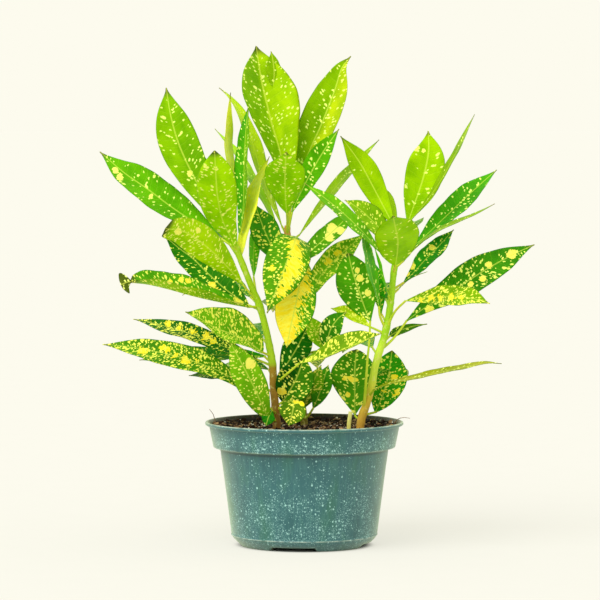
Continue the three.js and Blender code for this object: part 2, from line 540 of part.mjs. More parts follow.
function soil() {
  const side = INSIDE.slice(1, -1).map(([radius, height]) => [radius - CLEARANCE - 0.1, height + CLEARANCE]);
  const [[lowRadius, lowHeight], [highRadius, highHeight]] = INSIDE.slice(-2);
  const wall = THREE.MathUtils.mapLinear(SOIL_EDGE_HEIGHT, lowHeight, highHeight, lowRadius, highRadius);
  const edge = wall - CLEARANCE - 0.1;
  const top = SOIL_RINGS.map((radius) => [radius * edge, SOIL_EDGE_HEIGHT]);
  const profile = [[0, FLOOR_TOP + CLEARANCE], ...side, ...top];
  const points = profile.map(([radius, height]) => new THREE.Vector2(radius, height));
  const ground = new THREE.LatheGeometry(points, SOIL_SIDES).rotateX(Math.PI / 2);
  const place = ground.attributes.position;
  for (let i = 0; i < place.count; i++) {
    const [x, y, z] = [place.getX(i), place.getY(i), place.getZ(i)];
    const inward = 1 - Math.hypot(x, y) / edge;
    const ripple = Math.sin(0.16 * x + 1) * Math.cos(0.13 * y) + Math.sin(0.07 * x - 0.11 * y);
    const rise = SOIL_CROWN * Math.min(1, 3 * inward) + SOIL_UNEVEN * inward * ripple;
    if (z > SOIL_EDGE_HEIGHT - 1) place.setZ(i, z + rise);
  }
  return Object.values(STEMS).reduce((body, stem) => body.subtract(stemHole(stem)), solid(ground));
}

// ---- materials and the finished plant ----
const MATERIALS = {
  plastic: new THREE.MeshStandardMaterial({ color: 0x42726f, roughness: 0.45 }),
  soil: new THREE.MeshStandardMaterial({ color: 0x3a2013, roughness: 0.95 }),
  leaf: new THREE.MeshStandardMaterial({ color: 0x4fa314, roughness: 0.4 }),
  stalk: new THREE.MeshStandardMaterial({ color: 0xb9a83a, roughness: 0.6 }),
};

const plant = new THREE.Group();
function place(name, body, material) {
  const mesh = new THREE.Mesh(geometryOf(body), MATERIALS[material]);
  mesh.name = name;
  plant.add(mesh);
}

place("pot", potShell(), "plastic");
place("soil", soil(), "soil");
for (const [name, stem] of Object.entries(STEMS)) {
  place(name, leafyStem(stem), stem.leaves.length ? "leaf" : "stalk");
}

plant.position.set(-SPREAD_MIDDLE[0], -SPREAD_MIDDLE[1], 0);

export default plant;
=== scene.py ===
"""A potted gold-dust croton. Every leaf is a thin closed blade on its own stalk, on a round stem with rings,
in a speckled nursery pot of soil with bark and perlite. Lengths are millimetres from the pot's axis up to
make(), which turns them into metres in the row's frame."""
import math
import random

import bpy
import numpy as np
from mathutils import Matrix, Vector


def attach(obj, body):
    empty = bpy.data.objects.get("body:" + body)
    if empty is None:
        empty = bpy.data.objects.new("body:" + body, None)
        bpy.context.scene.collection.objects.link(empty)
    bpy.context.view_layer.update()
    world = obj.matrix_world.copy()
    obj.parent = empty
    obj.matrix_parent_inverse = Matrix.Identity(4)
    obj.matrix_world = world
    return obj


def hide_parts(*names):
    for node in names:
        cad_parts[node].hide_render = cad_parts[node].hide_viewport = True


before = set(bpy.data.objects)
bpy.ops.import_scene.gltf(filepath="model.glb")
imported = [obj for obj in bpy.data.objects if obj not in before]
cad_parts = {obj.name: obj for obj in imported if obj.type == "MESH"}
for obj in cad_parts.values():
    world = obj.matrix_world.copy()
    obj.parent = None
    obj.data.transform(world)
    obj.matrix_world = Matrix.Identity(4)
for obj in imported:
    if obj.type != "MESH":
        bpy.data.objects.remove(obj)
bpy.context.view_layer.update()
SPREAD_MIDDLE = np.array([10.9, 13.4, 0.0])  # the row's origin lies this far from the pot's axis
VIEW_DISTANCE, VIEW_HEIGHT = 3000.0, 360.0  # where the front view is seen from
UP, FORWARD, ACROSS = np.array([0.0, 0, 1]), np.array([0.0, -1, 0]), np.array([1.0, 0, 0])


# ---- curves, as the solids have them ----
def numbers(text):
    """The rows of numbers in a text, with commas between the rows."""
    return [tuple(map(float, row.split())) for row in text.split(",") if row]


def seen(point):
    """The place of a point given as (across, up, behind) in the front view."""
    across, up, behind = point
    scale = (VIEW_DISTANCE + behind) / VIEW_DISTANCE
    return np.array([across * scale, behind, VIEW_HEIGHT + (up - VIEW_HEIGHT) * scale])


def in_view(points):
    """Back from places to (across, up) in the front view."""
    scale = (VIEW_DISTANCE + points[:, 1]) / VIEW_DISTANCE
    return np.stack([points[:, 0] / scale, VIEW_HEIGHT + (points[:, 2] - VIEW_HEIGHT) / scale], 1)


def spaced(points, count):
    """count + 1 points at even steps along the smooth curve through points, and its length."""
    p = np.array([2 * points[0] - points[1], *points, 2 * points[-1] - points[-2]])
    fine = []
    for i in range(1, len(p) - 2):
        a, b = (p[i + 1] - p[i - 1]) / 2, (p[i + 2] - p[i]) / 2
        ahead = p[i + 1] - p[i]
        for w in np.arange(0, 1, 0.02):
            fine.append(p[i] + a * w + (3 * ahead - 2 * a - b) * w**2 + (a + b - 2 * ahead) * w**3)
    fine = np.array([*fine, p[-2]])
    reach = reach_along(fine)
    at = np.linspace(0, reach[-1], count + 1)
    return np.stack([np.interp(at, reach, fine[:, k]) for k in range(3)], 1), reach[-1]


def reach_along(points):
    return np.concatenate([[0], np.cumsum(np.linalg.norm(np.diff(points, axis=0), axis=1))])


def seen_curve(points, count):
    return spaced([seen(p) for p in points], count)


def tangents(points):
    ahead = np.concatenate([points[1:], points[-1:]])
    back = np.concatenate([points[:1], points[:-1]])
    return (ahead - back) / np.linalg.norm(ahead - back, axis=1)[:, None]


def squared(v, along):
    """The unit vector nearest to v that is square to along."""
    v = v - along * (v @ along)
    return v / np.linalg.norm(v)


def carried(along, start, normal):
    """A normal for each point, carried from the point start to both ends without twisting."""
    normals = [None] * len(along)
    normals[start] = squared(normal, along[start])
    for i in range(start + 1, len(along)):
        normals[i] = squared(normals[i - 1], along[i])
    for i in range(start - 1, -1, -1):
        normals[i] = squared(normals[i + 1], along[i])
    return np.array(normals)


def smooth(x, low, high):
    """A smooth step from 0 at low to 1 at high."""
    x = np.clip((x - low) / (high - low), 0, 1)
    return x * x * (3 - 2 * x)


def colour(text):
    """Linear red, green and blue of a #rrggbb colour."""
    c = np.array([int(text[i : i + 2], 16) / 255 for i in (1, 3, 5)])
    return np.where(c <= 0.04045, c / 12.92, ((c + 0.055) / 1.055) ** 2.4)


def mixed(a, b, share):
    share = np.asarray(share)[..., None]
    return a * (1 - share) + b * share


# ---- meshes ----
def put_in_scene(name, data):
    thing = bpy.data.objects.new(name, data)
    bpy.context.scene.collection.objects.link(thing)
    return thing


KINDS = {1: ("FLOAT", "value"), 3: ("FLOAT_VECTOR", "vector"), 4: ("FLOAT_COLOR", "color")}


def make(name, vertices, faces, uv=None, crisp=False, **attributes):
    """A mesh object from places in millimetres, with attributes of 1, 3 or 4 numbers per vertex."""
    mesh = bpy.data.meshes.new(name)
    mesh.from_pydata(((np.asarray(vertices) - SPREAD_MIDDLE) / 1000).tolist(), [], faces)
    for key, values in attributes.items():
        values = np.asarray(values, np.float32)
        kind, field = KINDS[values.size // len(values)]
        mesh.attributes.new(key, kind, "POINT").data.foreach_set(field, values.ravel())
    if uv is not None:
        layer = mesh.uv_layers.new(name="UVMap")
        loops = np.zeros(len(mesh.loops), int)
        mesh.loops.foreach_get("vertex_index", loops)
        layer.data.foreach_set("uv", uv[loops].astype(np.float32).ravel())
    mesh.validate()
    if not crisp:
        mesh.polygons.foreach_set("use_smooth", [True] * len(mesh.polygons))
    return put_in_scene(name, mesh)


def ring(radius, count, height, offset=0.0):
    """Places round the pot's axis. offset turns them, as a share of a step."""
    turn = (np.arange(count) + offset) * 2 * math.pi / count
    return [(radius * math.cos(a), radius * math.sin(a), height) for a in turn]


def ring_faces(a, b, count):
    """Faces between two rings of vertices that start at a and at b."""
    return [(a + k, a + (k + 1) % count, b + (k + 1) % count, b + k) for k in range(count)]


def tube(points, radii, sides):
    """Vertices, faces, distance along and angle of a closed round rod."""
    along = tangents(points)
    normals = carried(along, 0, FORWARD if abs(along[0][1]) < 0.9 else ACROSS)
    turn = np.arange(sides) * 2 * math.pi / sides
    rings = []
    for point, t, n, r in zip(points, along, normals, radii):
        s = np.cross(t, n)
        rings.append(point + r * (np.cos(turn)[:, None] * n + np.sin(turn)[:, None] * s))
    rows = len(points)
    faces = [tuple(range(sides))[::-1], tuple((rows - 1) * sides + k for k in range(sides))]
    for i in range(rows - 1):
        faces += ring_faces(i * sides, (i + 1) * sides, sides)
    return np.concatenate(rings), faces, np.repeat(reach_along(points), sides), np.tile(turn, rows)


def joined(parts):
    """Vertices and faces of several parts, which start with theirs, as one mesh."""
    count, faces = 0, []
    for part in parts:
        faces += [tuple(k + count for k in face) for face in part[1]]
        count += len(part[0])
    return np.concatenate([part[0] for part in parts]), faces


# ---- leaves and stems ----
BLADE_THICKNESS = 0.5
BLADE_ROWS, BLADE_COLUMNS = 44, 8  # steps along a blade, columns on each half
FOOT_HALF, TIP_HALF = 0.8, 0.45  # half the least width of a blade at its foot and at its tip
MARGIN_WAVES, MARGIN_LIFT = 2.3, 1.1  # waves along a margin, and their height on a blade 40 mm wide
RIPPLE = 0.016  # the height of the finer ripples, as a share of half the width
CROWN = 0.035  # how far each half sinks between midrib and margin, as a share of its width
RIB_WIDTH, RIB_SINK, RIB_STAND = 0.9, 0.16, 0.3  # the midrib, sunk above and standing out below
SPOT_FADE = 0.7  # how fast a blotch ends outside its radius
SEED_RANGE = 90  # each leaf's own shift of the noise
UV_WIDTH, UV_LENGTH = 64, 190  # millimetres of a blade to one unit
STEM_STEPS, STEM_SIDES, STALK_STEPS, STALK_SIDES = 90, 20, 14, 10
RING_HEIGHT, RING_LENGTH = 0.3, 1.8  # the leaf scars round a stem
STALK_RADIUS, STALK_SWELL, STALK_TAPER = 1.05, 0.4, 0.15  # thicker at its foot and thinner to the leaf

# a leaf's form where its call doesn't say: fold of the halves in degrees at foot and tip; peak, where it is
# widest; blunt and point, how sharply it narrows to foot and tip; above, if it faces up and not forward; and
# colours, where None stands for the upper one or one made from it; left and right colour the halves apart,
# as painted light and shade where one half is lit more than the other
PLAIN = dict(fold=(10, 6), peak=0.56, blunt=0.85, point=1.2, above=False, under=None, left=None, right=None,
             tip="#42501e")


class Stem:
    """A stem with its radius at foot and top, its colours by height above the floor, and its leaves."""

    def __init__(self, node, radius, tones, route):
        self.node, self.radius, self.tones, self.leaves = node, radius, tones, []
        self.route = numbers(route)

    def leaf(self, name, at, width, turn, upper, dust, spine, stalk="", spots="", **form):
        """A leaf whose stalk leaves the stem at that height, with its turn about the spine in degrees, the
        colour of its upper face and its share of gold dust. In the front view spine and stalk are points
        (across, up, behind), and spots are blotches (across, up, radius)."""
        leaf = dict(PLAIN, name=name, at=at, width=width, turn=turn, upper=upper, dust=dust, **form)
        leaf.update(index=len(self.leaves), spine=numbers(spine), stalk=numbers(stalk), spots=numbers(spots))
        self.leaves.append(leaf)


def opaque(colours):
    return np.concatenate([colours, np.ones((len(colours), 1))], 1)


def blade_faces(rows, columns):
    """Faces of a closed sheet. Each row of vertices runs across its upper face and back under it."""
    about = 2 * columns
    faces, last = [], (rows - 1) * about
    for i in range(rows - 1):
        faces += ring_faces(i * about, (i + 1) * about, about)
    for k in range(columns - 1):
        cap = (k, about - 1 - k, about - 2 - k, k + 1)
        faces += [cap, tuple(last + v for v in cap[::-1])]
    return faces


def both(over, under):
    """Values of a blade's vertices, from those of its upper and its lower face."""
    values = np.concatenate([over, under[:, ::-1]], 1)
    return values.reshape(-1, *values.shape[2:])


def blade_colours(leaf, s, ends):
    """Colours by the place s across and ends, the share of the tip's colour."""
    upper, tip = colour(leaf["upper"]), colour(leaf["tip"])
    under = colour(leaf["under"]) if leaf["under"] else mixed(upper, colour("#a4d81c"), 0.4)
    # left and right: painted light and shade, for a half that is lit more or less than the other
    left = colour(leaf["left"] or leaf["upper"])
    right = colour(leaf["right"] or leaf["upper"])
    over = np.where((s < -0.04)[:, None], left, np.where((s > 0.04)[:, None], right, upper))
    return opaque(both(mixed(over, tip, ends), mixed(under, tip, ends)))


def blade(leaf):
    """A thin closed blade with its looks as vertex values."""
    rng = random.Random(leaf["name"])
    spine, length = seen_curve(leaf["spine"], BLADE_ROWS)
    along = tangents(spine)
    middle = BLADE_ROWS // 2
    facing = squared(UP if leaf["above"] else FORWARD, along[middle])
    turn = math.radians(leaf["turn"])
    facing = facing * math.cos(turn) + np.cross(along[middle], facing) * math.sin(turn)
    normals = carried(along, middle, facing)
    sides = np.cross(along, normals)

    # t runs along the blade, s across it from -1 to 1, closer together at the margins
    t = np.linspace(0, 1, BLADE_ROWS + 1)
    s = np.linspace(-1, 1, 2 * BLADE_COLUMNS + 1)
    s = np.sign(s) * np.abs(s) ** 0.85
    size, sign = np.abs(s)[None, :], np.sign(s)[None, :]
    shape = np.maximum(np.sin(math.pi * t ** (math.log(0.5) / math.log(leaf["peak"]))), 0)
    power = leaf["blunt"] + (leaf["point"] - leaf["blunt"]) * smooth(t, leaf["peak"], 1)
    half = np.maximum(leaf["width"] / 2 * shape**power, FOOT_HALF + (TIP_HALF - FOOT_HALF) * t)
    fold = np.radians(leaf["fold"][0] + (leaf["fold"][1] - leaf["fold"][0]) * t)
    h = half[:, None]
    wave = sign * np.sin(2 * math.pi * (MARGIN_WAVES * t[:, None] + 0.37 * leaf["index"]) + sign)
    ripple = np.sin(2 * math.pi * ((5 + 2 * rng.random()) * t[:, None] + rng.random()) + 2.1 * sign)
    lift = size * h * np.sin(fold)[:, None] + size**1.6 * wave * MARGIN_LIFT * h / 20
    lift = lift + size**2.2 * ripple * RIPPLE * h - CROWN * h * np.sin(math.pi * size)
    out = s[None, :] * h * np.cos(fold)[:, None]
    centre = spine[:, None, :] + out[..., None] * sides[:, None, :] + lift[..., None] * normals[:, None, :]

    # the midrib is sunk a little in the upper face and stands out a little under the blade
    across, y, h = np.broadcast_arrays(s[None, :] * h, t[:, None] * length, h)
    rib = np.exp(-((across / RIB_WIDTH) ** 2)) * smooth(1 - t, 0.0, 0.5)[:, None]
    thick = BLADE_THICKNESS / 2 * (1 - 0.45 * size**3)
    top = centre + (thick - RIB_SINK * rib)[..., None] * normals[:, None, :]
    low = centre - (thick + RIB_STAND * rib)[..., None] * normals[:, None, :]
    vertices = both(top, low)

    spot = np.zeros(len(vertices))
    flat = in_view(vertices)
    for u, v, radius in leaf["spots"]:
        off = ((flat[:, 0] - u) ** 2 + (flat[:, 1] - v) ** 2) / radius**2
        spot = np.maximum(spot, np.exp(-SPOT_FADE * off))
    place = np.stack([across, y, h], -1)
    place = both(place, place)
    back = both(np.zeros(h.shape), np.ones(h.shape))
    ends = smooth(t, 0.92, 0.99)[:, None] * np.ones_like(size)
    return make(
        leaf["name"], vertices, blade_faces(len(t), len(s)),
        uv=np.stack([0.5 + place[:, 0] / UV_WIDTH + back, place[:, 1] / UV_LENGTH], 1),
        leaf_place=place,
        leaf_green=blade_colours(leaf, s, ends),
        leaf_look=np.stack([np.full(len(spot), leaf["dust"]), spot, back], 1),
        leaf_seed=np.full(len(spot), rng.uniform(0, SEED_RANGE)),
    )


def stem_piece(stem):
    """The stem, with a ring at each leaf, and the leaves' stalks, in one mesh."""
    points, _ = seen_curve(stem.route, STEM_STEPS)
    thick, thin = stem.radius
    radii = thick + (thin - thick) * np.linspace(0, 1, len(points))
    stalked = [leaf for leaf in stem.leaves if leaf["at"]]
    for leaf in stalked:
        at = seen((0, leaf["at"], 0))[2]
        radii = radii + RING_HEIGHT * np.exp(-(((points[:, 2] - at) / RING_LENGTH) ** 2))
    vertices, faces, reach, turn = tube(points, np.minimum(radii, thick + 0.1), STEM_SIDES)
    parts = [(vertices, faces, np.stack([reach, turn, np.zeros_like(reach)], 1))]
    fine, _ = seen_curve(stem.route, 400)
    for leaf in stalked:
        spine, _ = seen_curve(leaf["spine"], 8)
        root = fine[np.argmin(np.abs(fine[:, 2] - seen((0, leaf["at"], 0))[2]))]
        end = spine[0] * 0.9 + spine[1] * 0.1
        way, _ = spaced([root, *[seen(p) for p in leaf["stalk"]], end], STALK_STEPS)
        share = np.linspace(0, 1, len(way))
        radii = STALK_RADIUS + STALK_SWELL * (1 - share) ** 3 - STALK_TAPER * share
        vertices, faces, reach, turn = tube(way, radii, STALK_SIDES)
        parts.append((vertices, faces, np.stack([reach, turn, np.ones_like(reach)], 1)))
    vertices, faces = joined(parts)
    place = np.concatenate([part[2] for part in parts])
    steps, tones = zip(*stem.tones)
    tones = np.array([colour(tone) for tone in tones])
    tint = np.stack([np.interp(vertices[:, 2], steps, tones[:, k]) for k in range(3)], 1)
    uv = np.stack([place[:, 1] / 7 + place[:, 2], place[:, 0] / 250], 1)
    return make(stem.node + "_wood", vertices, faces, uv=uv, stem_place=place, stem_tint=opaque(tint))


LEFT = Stem("stem_left", radius=(3.6, 2.4), tones=[(98, "#8c6420"), (138, "#a07a1c"), (149, "#ac8a1c"),
    (151.5, "#a8cc1c"), (200, "#a4d010"), (260, "#b0d81c")], route="-22 50 -12, -23 100 -12, -25 125 -12, "
    "-26.5 150 -12, -29.5 168 -13, -33 184 -13, -37.5 200 -13, -43 213 -14, -49 228 -14, -55 243 -14, "
    "-59 254 -14")
leaf = LEFT.leaf
leaf("l_crown_1", 250, 34, 12, "#70ad00", 0.15, "-64 260 -8, -78 282 -2, -91.5 306 4, -103.5 332 10, "
    "-110.5 356 16, -114.4 380 24", fold=(14, 6), peak=0.62, blunt=0.75, left="#7cb602", spots="-95 309 2.8")
leaf("l_crown_2", 247, 34, 40, "#5bab02", 0.2, "-72 257 -4, -95 271 2, -110 281 6, -130 296 12, "
    "-150 310 18, -169.5 327 26", fold=(14, 10), peak=0.54, blunt=0.6, spots="-157 312 2.6, -153 306 3, "
    "-127 290 2")
leaf("l_crown_3", 242, 33, 180, "#3c9a10", 0.4, "-57.5 248 -18, -61.5 257 -22, -68 271 -32, -72 290 -50, "
    "-73.5 308 -64, -74.5 328 -78", peak=0.6, blunt=0.5, point=0.85, under="#9fdc00")
leaf("l_front_4", 202, 28, 180, "#3c9a10", 0.5, "-50.5 216 -18, -59 226 -26, -71 239 -45, -85 251.5 -66, "
    "-100 261 -86, -115.5 263.5 -105", fold=(8, 6), peak=0.6, blunt=0.65, point=0.22, under="#a6da00",
    spots="-105 261 3, -88 262 2.4")
leaf("l_crown_5", 232, 27, -66, "#f8fc40", 0.2, "-52.5 240 -10, -50 254 -6, -46 270 -2, -43 285 3, "
    "-39 300 8, -29 323 16", blunt=0.5, under="#ffff48")
leaf("l_crown_6", 246, 28, -66, "#6cb008", 0.2, "-54 258 -4, -51 275 -1, -50 300 2, -49.5 325 5, -48 348 8, "
    "-46 366 11", fold=(14, 10), blunt=0.6, under="#78b808", left="#45a00b")
leaf("l_crown_7", 254, 24, 75, "#fcff3c", 0.15, "-58 262 6, -59 290 13, -62 315 19, -64 335 25, -63 355 30, "
    "-61 376 35", fold=(8, 8), under="#fcff3c")
leaf("l_side_8", 196, 28, 25, "#24780a", 0.6, "-46.5 199.5 -9, -65 212.5 -4, -80 226 2, -92 238 7, "
    "-104 247 11, -116 257 15", fold=(12, 8), peak=0.55, blunt=0.55, spots="-77 215 4, -72 210 3")
leaf("l_side_9", 199, 36, 78, "#4e9e0a", 0.6, "-46 198 -18, -70 202.5 -25, -92 207.5 -32, -112 213 -39, "
    "-130 217 -45, -145 218.5 -50", fold=(38, 36), peak=0.6, blunt=0.5, point=0.45, under="#8cc40a",
    spots="-112 219 2.2, -102 221 2.4, -96 220 2.2, -54 205 4.5")
leaf("l_side_9_tip", None, 19, 18, "#4a5c14", 0.25, "-139 219 -49.5, -146.5 219 -51, -152.5 216.5 -52",
    fold=(26, -12), peak=0.76, blunt=1.4, point=0.6)
leaf("l_side_10", 150, 24, 58, "#196609", 0.9, "-38 154 -8, -64 164 -1, -85 172.5 10, -105 179 20, "
    "-125 184.5 30, -142 188 38", fold=(8, 8), blunt=0.6, spots="-113 183.5 2.4, -104 181 2, -93 178 2.2, "
    "-81 173.5 3.6, -76 170.5 2.4")
leaf("l_side_11", 158, 40, 44, "#64a90c", 1, "-34.5 160 -20, -48 170 -29, -62 176 -38, -75 181 -46, "
    "-88 189 -53, -99 194 -58", fold=(34, 30), peak=0.5, blunt=0.6)
leaf("l_side_12", 152, 24, 62, "#2a960b", 0.5, "-32 157 1, -60 158 14, -90 158 24, -115 156 30, -137 154 34",
    blunt=0.55)
leaf("l_side_13", 128, 20, 62, "#126c12", 0.4, "-34 131 6, -50 136 14, -70 142 20, -96 141 26", blunt=0.55)
leaf("l_side_14", 112, 30, 50, "#448806", 0.95, "-40 120 -20, -50 131 -21, -63 140.5 -20, -80 148.5 -17, "
    "-102 156 -11, -126 161.5 -3, -150 165.5 6, -167.5 167 14", fold=(6, 6), spots="-98.4 154.1 3.6, "
    "-106.5 157.5 2, -114 163.5 2.6, -117.5 164.5 2.6, -132.5 161.5 2.4, -136 162 2.4, -89 153 2")
leaf("l_front_15", 104, 26, 195, "#61a10d", 0.6, "-30 105 -28, -35.5 117 -34, -42 131.5 -40, -49.5 146 -46, "
    "-56.5 159 -51, -63 171 -56", fold=(8, 8), peak=0.5, blunt=0.65, under="#70b50d", spots="-45 151 4.5")
leaf("l_front_16", 134, 28, -60, "#67940d", 1, "-5 151 -26, 8 154 -31, 22 158.5 -36, 35 164 -39, "
    "49 170 -41, 64 176 -42", fold=(30, 30), stalk="-15 142 -20")
leaf("l_front_17", 113, 22, 0, "#4c7b0d", 0.7, "-11 120.5 -22, -9 117 -30, -10.5 108 -36, -13 99 -38",
    blunt=0.6, spots="-7 120 2.6, -2 118 2.2")
leaf("l_front_18", 110, 11, 0, "#16790b", 0.2, "-27 112 -24, -30 106 -30, -32 99 -32")
leaf("l_front_19", 136, 24, -10, "#0d6a0b", 0.35, "-21 141 -6, -15 150 -4, -8 161 -2, -2 172 0, 4 184 2",
    fold=(8, 8))
leaf("l_front_20", 116, 32, 0, "#38800b", 0.6, "-18 119 -10, -13 127 -13, -7 138 -16, -3 148 -18, 0 158 -19",
    fold=(15, 15), peak=0.5, blunt=0.6, left="#0a560b", spots="-19 128 3.5")
leaf("l_back_21", 206, 12, 40, "#65c80c", 0.5, "-42 222 8, -42.5 238 20, -41.5 255 28, -40 272 32")
leaf("l_back_22", 236, 32, 14, "#3f9c10", 0.6, "-62 250 4, -69 260 28, -76 264 54, -84 262 80, -91 254 102",
    above=True)
leaf("l_back_23", 200, 30, -12, "#38a407", 0.8, "-44 206 4, -57 214 28, -71 217 56, -87 215 84, "
    "-101 208 106", above=True)
leaf("l_back_24", 166, 33, 10, "#38b40d", 0.7, "-34 171 4, -43 179 32, -51 184 64, -58 184 96, -63 178 124",
    above=True)
leaf("l_back_25", 140, 26, -16, "#198808", 0.8, "-29 146 4, -42 149 28, -56 150 56, -71 147 84, -84 140 106",
    above=True)
leaf("l_back_26", 248, 26, 0, "#74b810", 0.25, "-64 264 12, -69 284 34, -73 300 54, -76 312 76, -78 320 98")
leaf("l_back_27", 246, 24, 10, "#60b010", 0.2, "-68 268 6, -80 292 18, -91 316 30, -101 342 42")

MIDDLE = Stem("stem_middle", radius=(3.4, 2.2), tones=[(98, "#8a7a24"), (180, "#a0b020"), (228, "#c0c028"),
    (246, "#cc9c44")], route="0 50 24, 0 100 22, -4 125 21, -8 150 20, -10.5 175 19, -12 200 18, "
    "-13 228 17, -14 255 16, -14 266 16")
leaf = MIDDLE.leaf
leaf("m_crown_0", 256, 24, 62, "#bbe20d", 0.08, "-18 264 22, -28 288 28, -37 313 34, -44 338 40, "
    "-53 359 46, -62 372 50, -70.5 380 53", fold=(8, 8), under="#bee80d", tip="#6a6c34")
leaf("m_crown_1", 252, 20, 68, "#aee40d", 0.08, "-20 258 26, -29 277 32, -39 296 38, -48 312 44, "
    "-58 328 50, -74 346 57", under="#b6f00d", tip="#7c8c50")
leaf("m_crown_2", 262, 54, 27, "#92c100", 0.3, "-13.5 282 8, -16 305 5, -20.5 328 5, -27 350 7, "
    "-31.5 368 9, -36 388 12, -40 414.5 18", fold=(38, 20), peak=0.66, blunt=0.75, point=1.15,
    left="#79b302", right="#9ecb04")
leaf("m_crown_2_tip", None, 13, 25, "#7dae00", 0.3, "-26 380 11.5, -25 392 13, -26 402 15, -27.5 410 16.5",
    fold=(0, 0), peak=0.5)
leaf("m_crown_4", 258, 33.5, 180, "#3c9a10", 0.35, "-14.5 276 -4, -15.5 287 -16, -16 299 -31, -16 311 -46, "
    "-15.5 320 -58, -15 327 -67", fold=(6, 6), peak=0.58, blunt=0.65, under="#91d300", stalk="-14 268 6")
leaf("m_crown_5", 263, 37, -24.5, "#81b400", 0.3, "-10.5 286 20, -6 300 19, -1 315 18, 8 336 18, 14 349 19, "
    "20 364 20, 26 380 22, 31 396 25, 38.6 406 28", fold=(24.5, 24.5), peak=0.57, left="#7cb000",
    right="#adc90b")
leaf("m_crown_6", 258, 20, -20, "#4ea203", 0.2, "-10.5 276 9, -5 289 4, 1.5 302 0, 8.5 315 -3, 17 329 -5, "
    "28.8 346 -8", fold=(14, 10))
leaf("m_crown_7", 250, 17, -62, "#99c80d", 0.12, "-5 257 26, 5 270 31, 15 283.5 37, 26 297.5 43, "
    "37.5 310.5 48, 50 324.5 54, 62 337 58", fold=(8, 8), under="#a4d80d", tip="#4a5a28")
leaf("m_side_8", 234, 20, -40, "#519d0c", 0.36, "-6 236 12, 5 244.5 12, 17 255 13, 29 266 15, 40 278 20",
    fold=(8, 8), blunt=0.4, spots="23 263 4.5, 21 257 4, 30 262 3.5")
leaf("m_side_9", 192, 24, -35, "#66ae14", 1, "0 202 16, 8 214 16, 15 226 17, 25 237 20, 36 247 24, "
    "50 259 28", fold=(8, 8), spots="28 243 3, 20 236 3")
leaf("m_front_10", 248, 37, 0, "#4e950b", 0.78, "-9 253 6, -7 257 -8, -8.5 251 -24, -14 237 -35, "
    "-20 221 -41, -25.5 207 -43, -31 193 -42", fold=(-12, -12), peak=0.5, blunt=0.6, spots="-9 250 4.8, "
    "-7 243 6, -8 235 6.4, -11 227 6.4, -15 219 5.6, -18 211 4.2, -27 230 2.4")
leaf("m_front_11", 238, 33, 0, "#4ea00d", 0.9, "-5 243 4, -3 238 -8, -3 224 -19, -6 206 -25, -10.5 186 -28, "
    "-15 164 -26", fold=(-6, -6), peak=0.6, spots="-2 232 7, -6 222 9, -10 212 10, -14 202 11, -15 192 12, "
    "-16 182 11, -16 172 9, -3 214 7")
leaf("m_front_12", 224, 25, 10, "#3c9418", 0.65, "-16 233 16, -24 244 15, -31 257 15, -37 272 16, "
    "-41 284 18", fold=(10, 10))
leaf("m_low_13", 110, 20, 30, "#5fa70d", 0.95, "-1 113 10, 3 124 2, 8 137 -3, 14 150 -5", fold=(10, 10))
leaf("m_low_14", 106, 18, -15, "#3a9010", 0.5, "7 113 4, 11 122 2, 15 134 2, 20 150 3", fold=(12, 12),
    stalk="2 106 10")
leaf("m_low_15", 150, 18, -10, "#32840d", 0.5, "18 163 -8, 19.5 172 -12, 22.5 181 -14, 28 188.5 -14, "
    "35 194 -13", peak=0.5, stalk="6 156 4")
leaf("m_low_16", 154, 17, 20, "#84c70d", 0.85, "17 162 -2, 13 171 -6, 8 181 -8, 4 191 -8", stalk="4 160 6")
leaf("m_back_17", 256, 24, 0, "#7cb810", 0.25, "-13 270 24, -12 300 40, -13 330 54, -20 358 66, -27 386 78",
    peak=0.66)
leaf("m_back_18", 222, 32, 12, "#4a9c10", 0.5, "-13 230 24, -11 239 50, -9 243 78, -7 241 104, -5 233 126",
    above=True)
leaf("m_back_19", 188, 34, -14, "#2f8c10", 0.8, "-11 195 24, -14 202 50, -18 206 80, -22 203 108, "
    "-26 194 132", above=True)
leaf("m_back_20", 146, 32, 8, "#106e07", 1, "-7 153 26, -3 158 50, 2 160 76, 7 156 102, 11 147 122",
    above=True)
leaf("m_back_21", 114, 28, -10, "#126c12", 0.7, "-1 121 28, -4 127 52, -8 130 80, -12 127 108, -15 118 132",
    above=True)

RIGHT = Stem("stem_right", radius=(3.6, 2.4), tones=[(98, "#dca840"), (122, "#d4bc30"), (140, "#cce440"),
    (165, "#c8e83c"), (174, "#a0d014"), (260, "#a8d81c")], route="46 50 -4, 46.5 98 -4, 52 118 -4, "
    "56 133 -4, 58.5 147 -4, 62 160 -4, 66 172 -3, 69 185 -2, 71.5 200 -2, 73 215 -1, 75 232 0, 79 245 0, "
    "83 260 0")
leaf = RIGHT.leaf
leaf("r_crown_0", 240, 28, 48, "#7db207", 0.6, "70 254 6, 62 264 6, 54 272 6, 45 280 4, 33.5 287 2",
    fold=(8, 8), peak=0.45)
leaf("r_crown_1", 234, 20, 55, "#65b207", 0.3, "67 240 -6, 56 252 -14, 45 264 -23, 30 278 -29, 15 290 -29, "
    "0 301 -24", fold=(8, 8))
leaf("r_crown_2", 254, 23, 20, "#97c800", 0.03, "75 264 10, 66 281 18, 57 298 22, 46 318 24, 30 340 24",
    fold=(4, 4))
leaf("r_crown_3", 226, 37, 180, "#89cc02", 0.08, "75.5 233 -8, 77 243 -22, 77.5 253 -38, 76 262 -54, "
    "74.5 269 -70, 73.5 274 -84", fold=(4, 4), peak=0.5, blunt=0.6, under="#94d000")
leaf("r_crown_4", 258, 32, 0, "#92c600", 0.08, "86.5 270 4, 91 283 4, 96 297 5, 100 311 6, 103 328 8, "
    "102.6 344.4 11", fold=(8, 8), blunt=0.7, spots="93 330 2.4, 99 328 1.8")
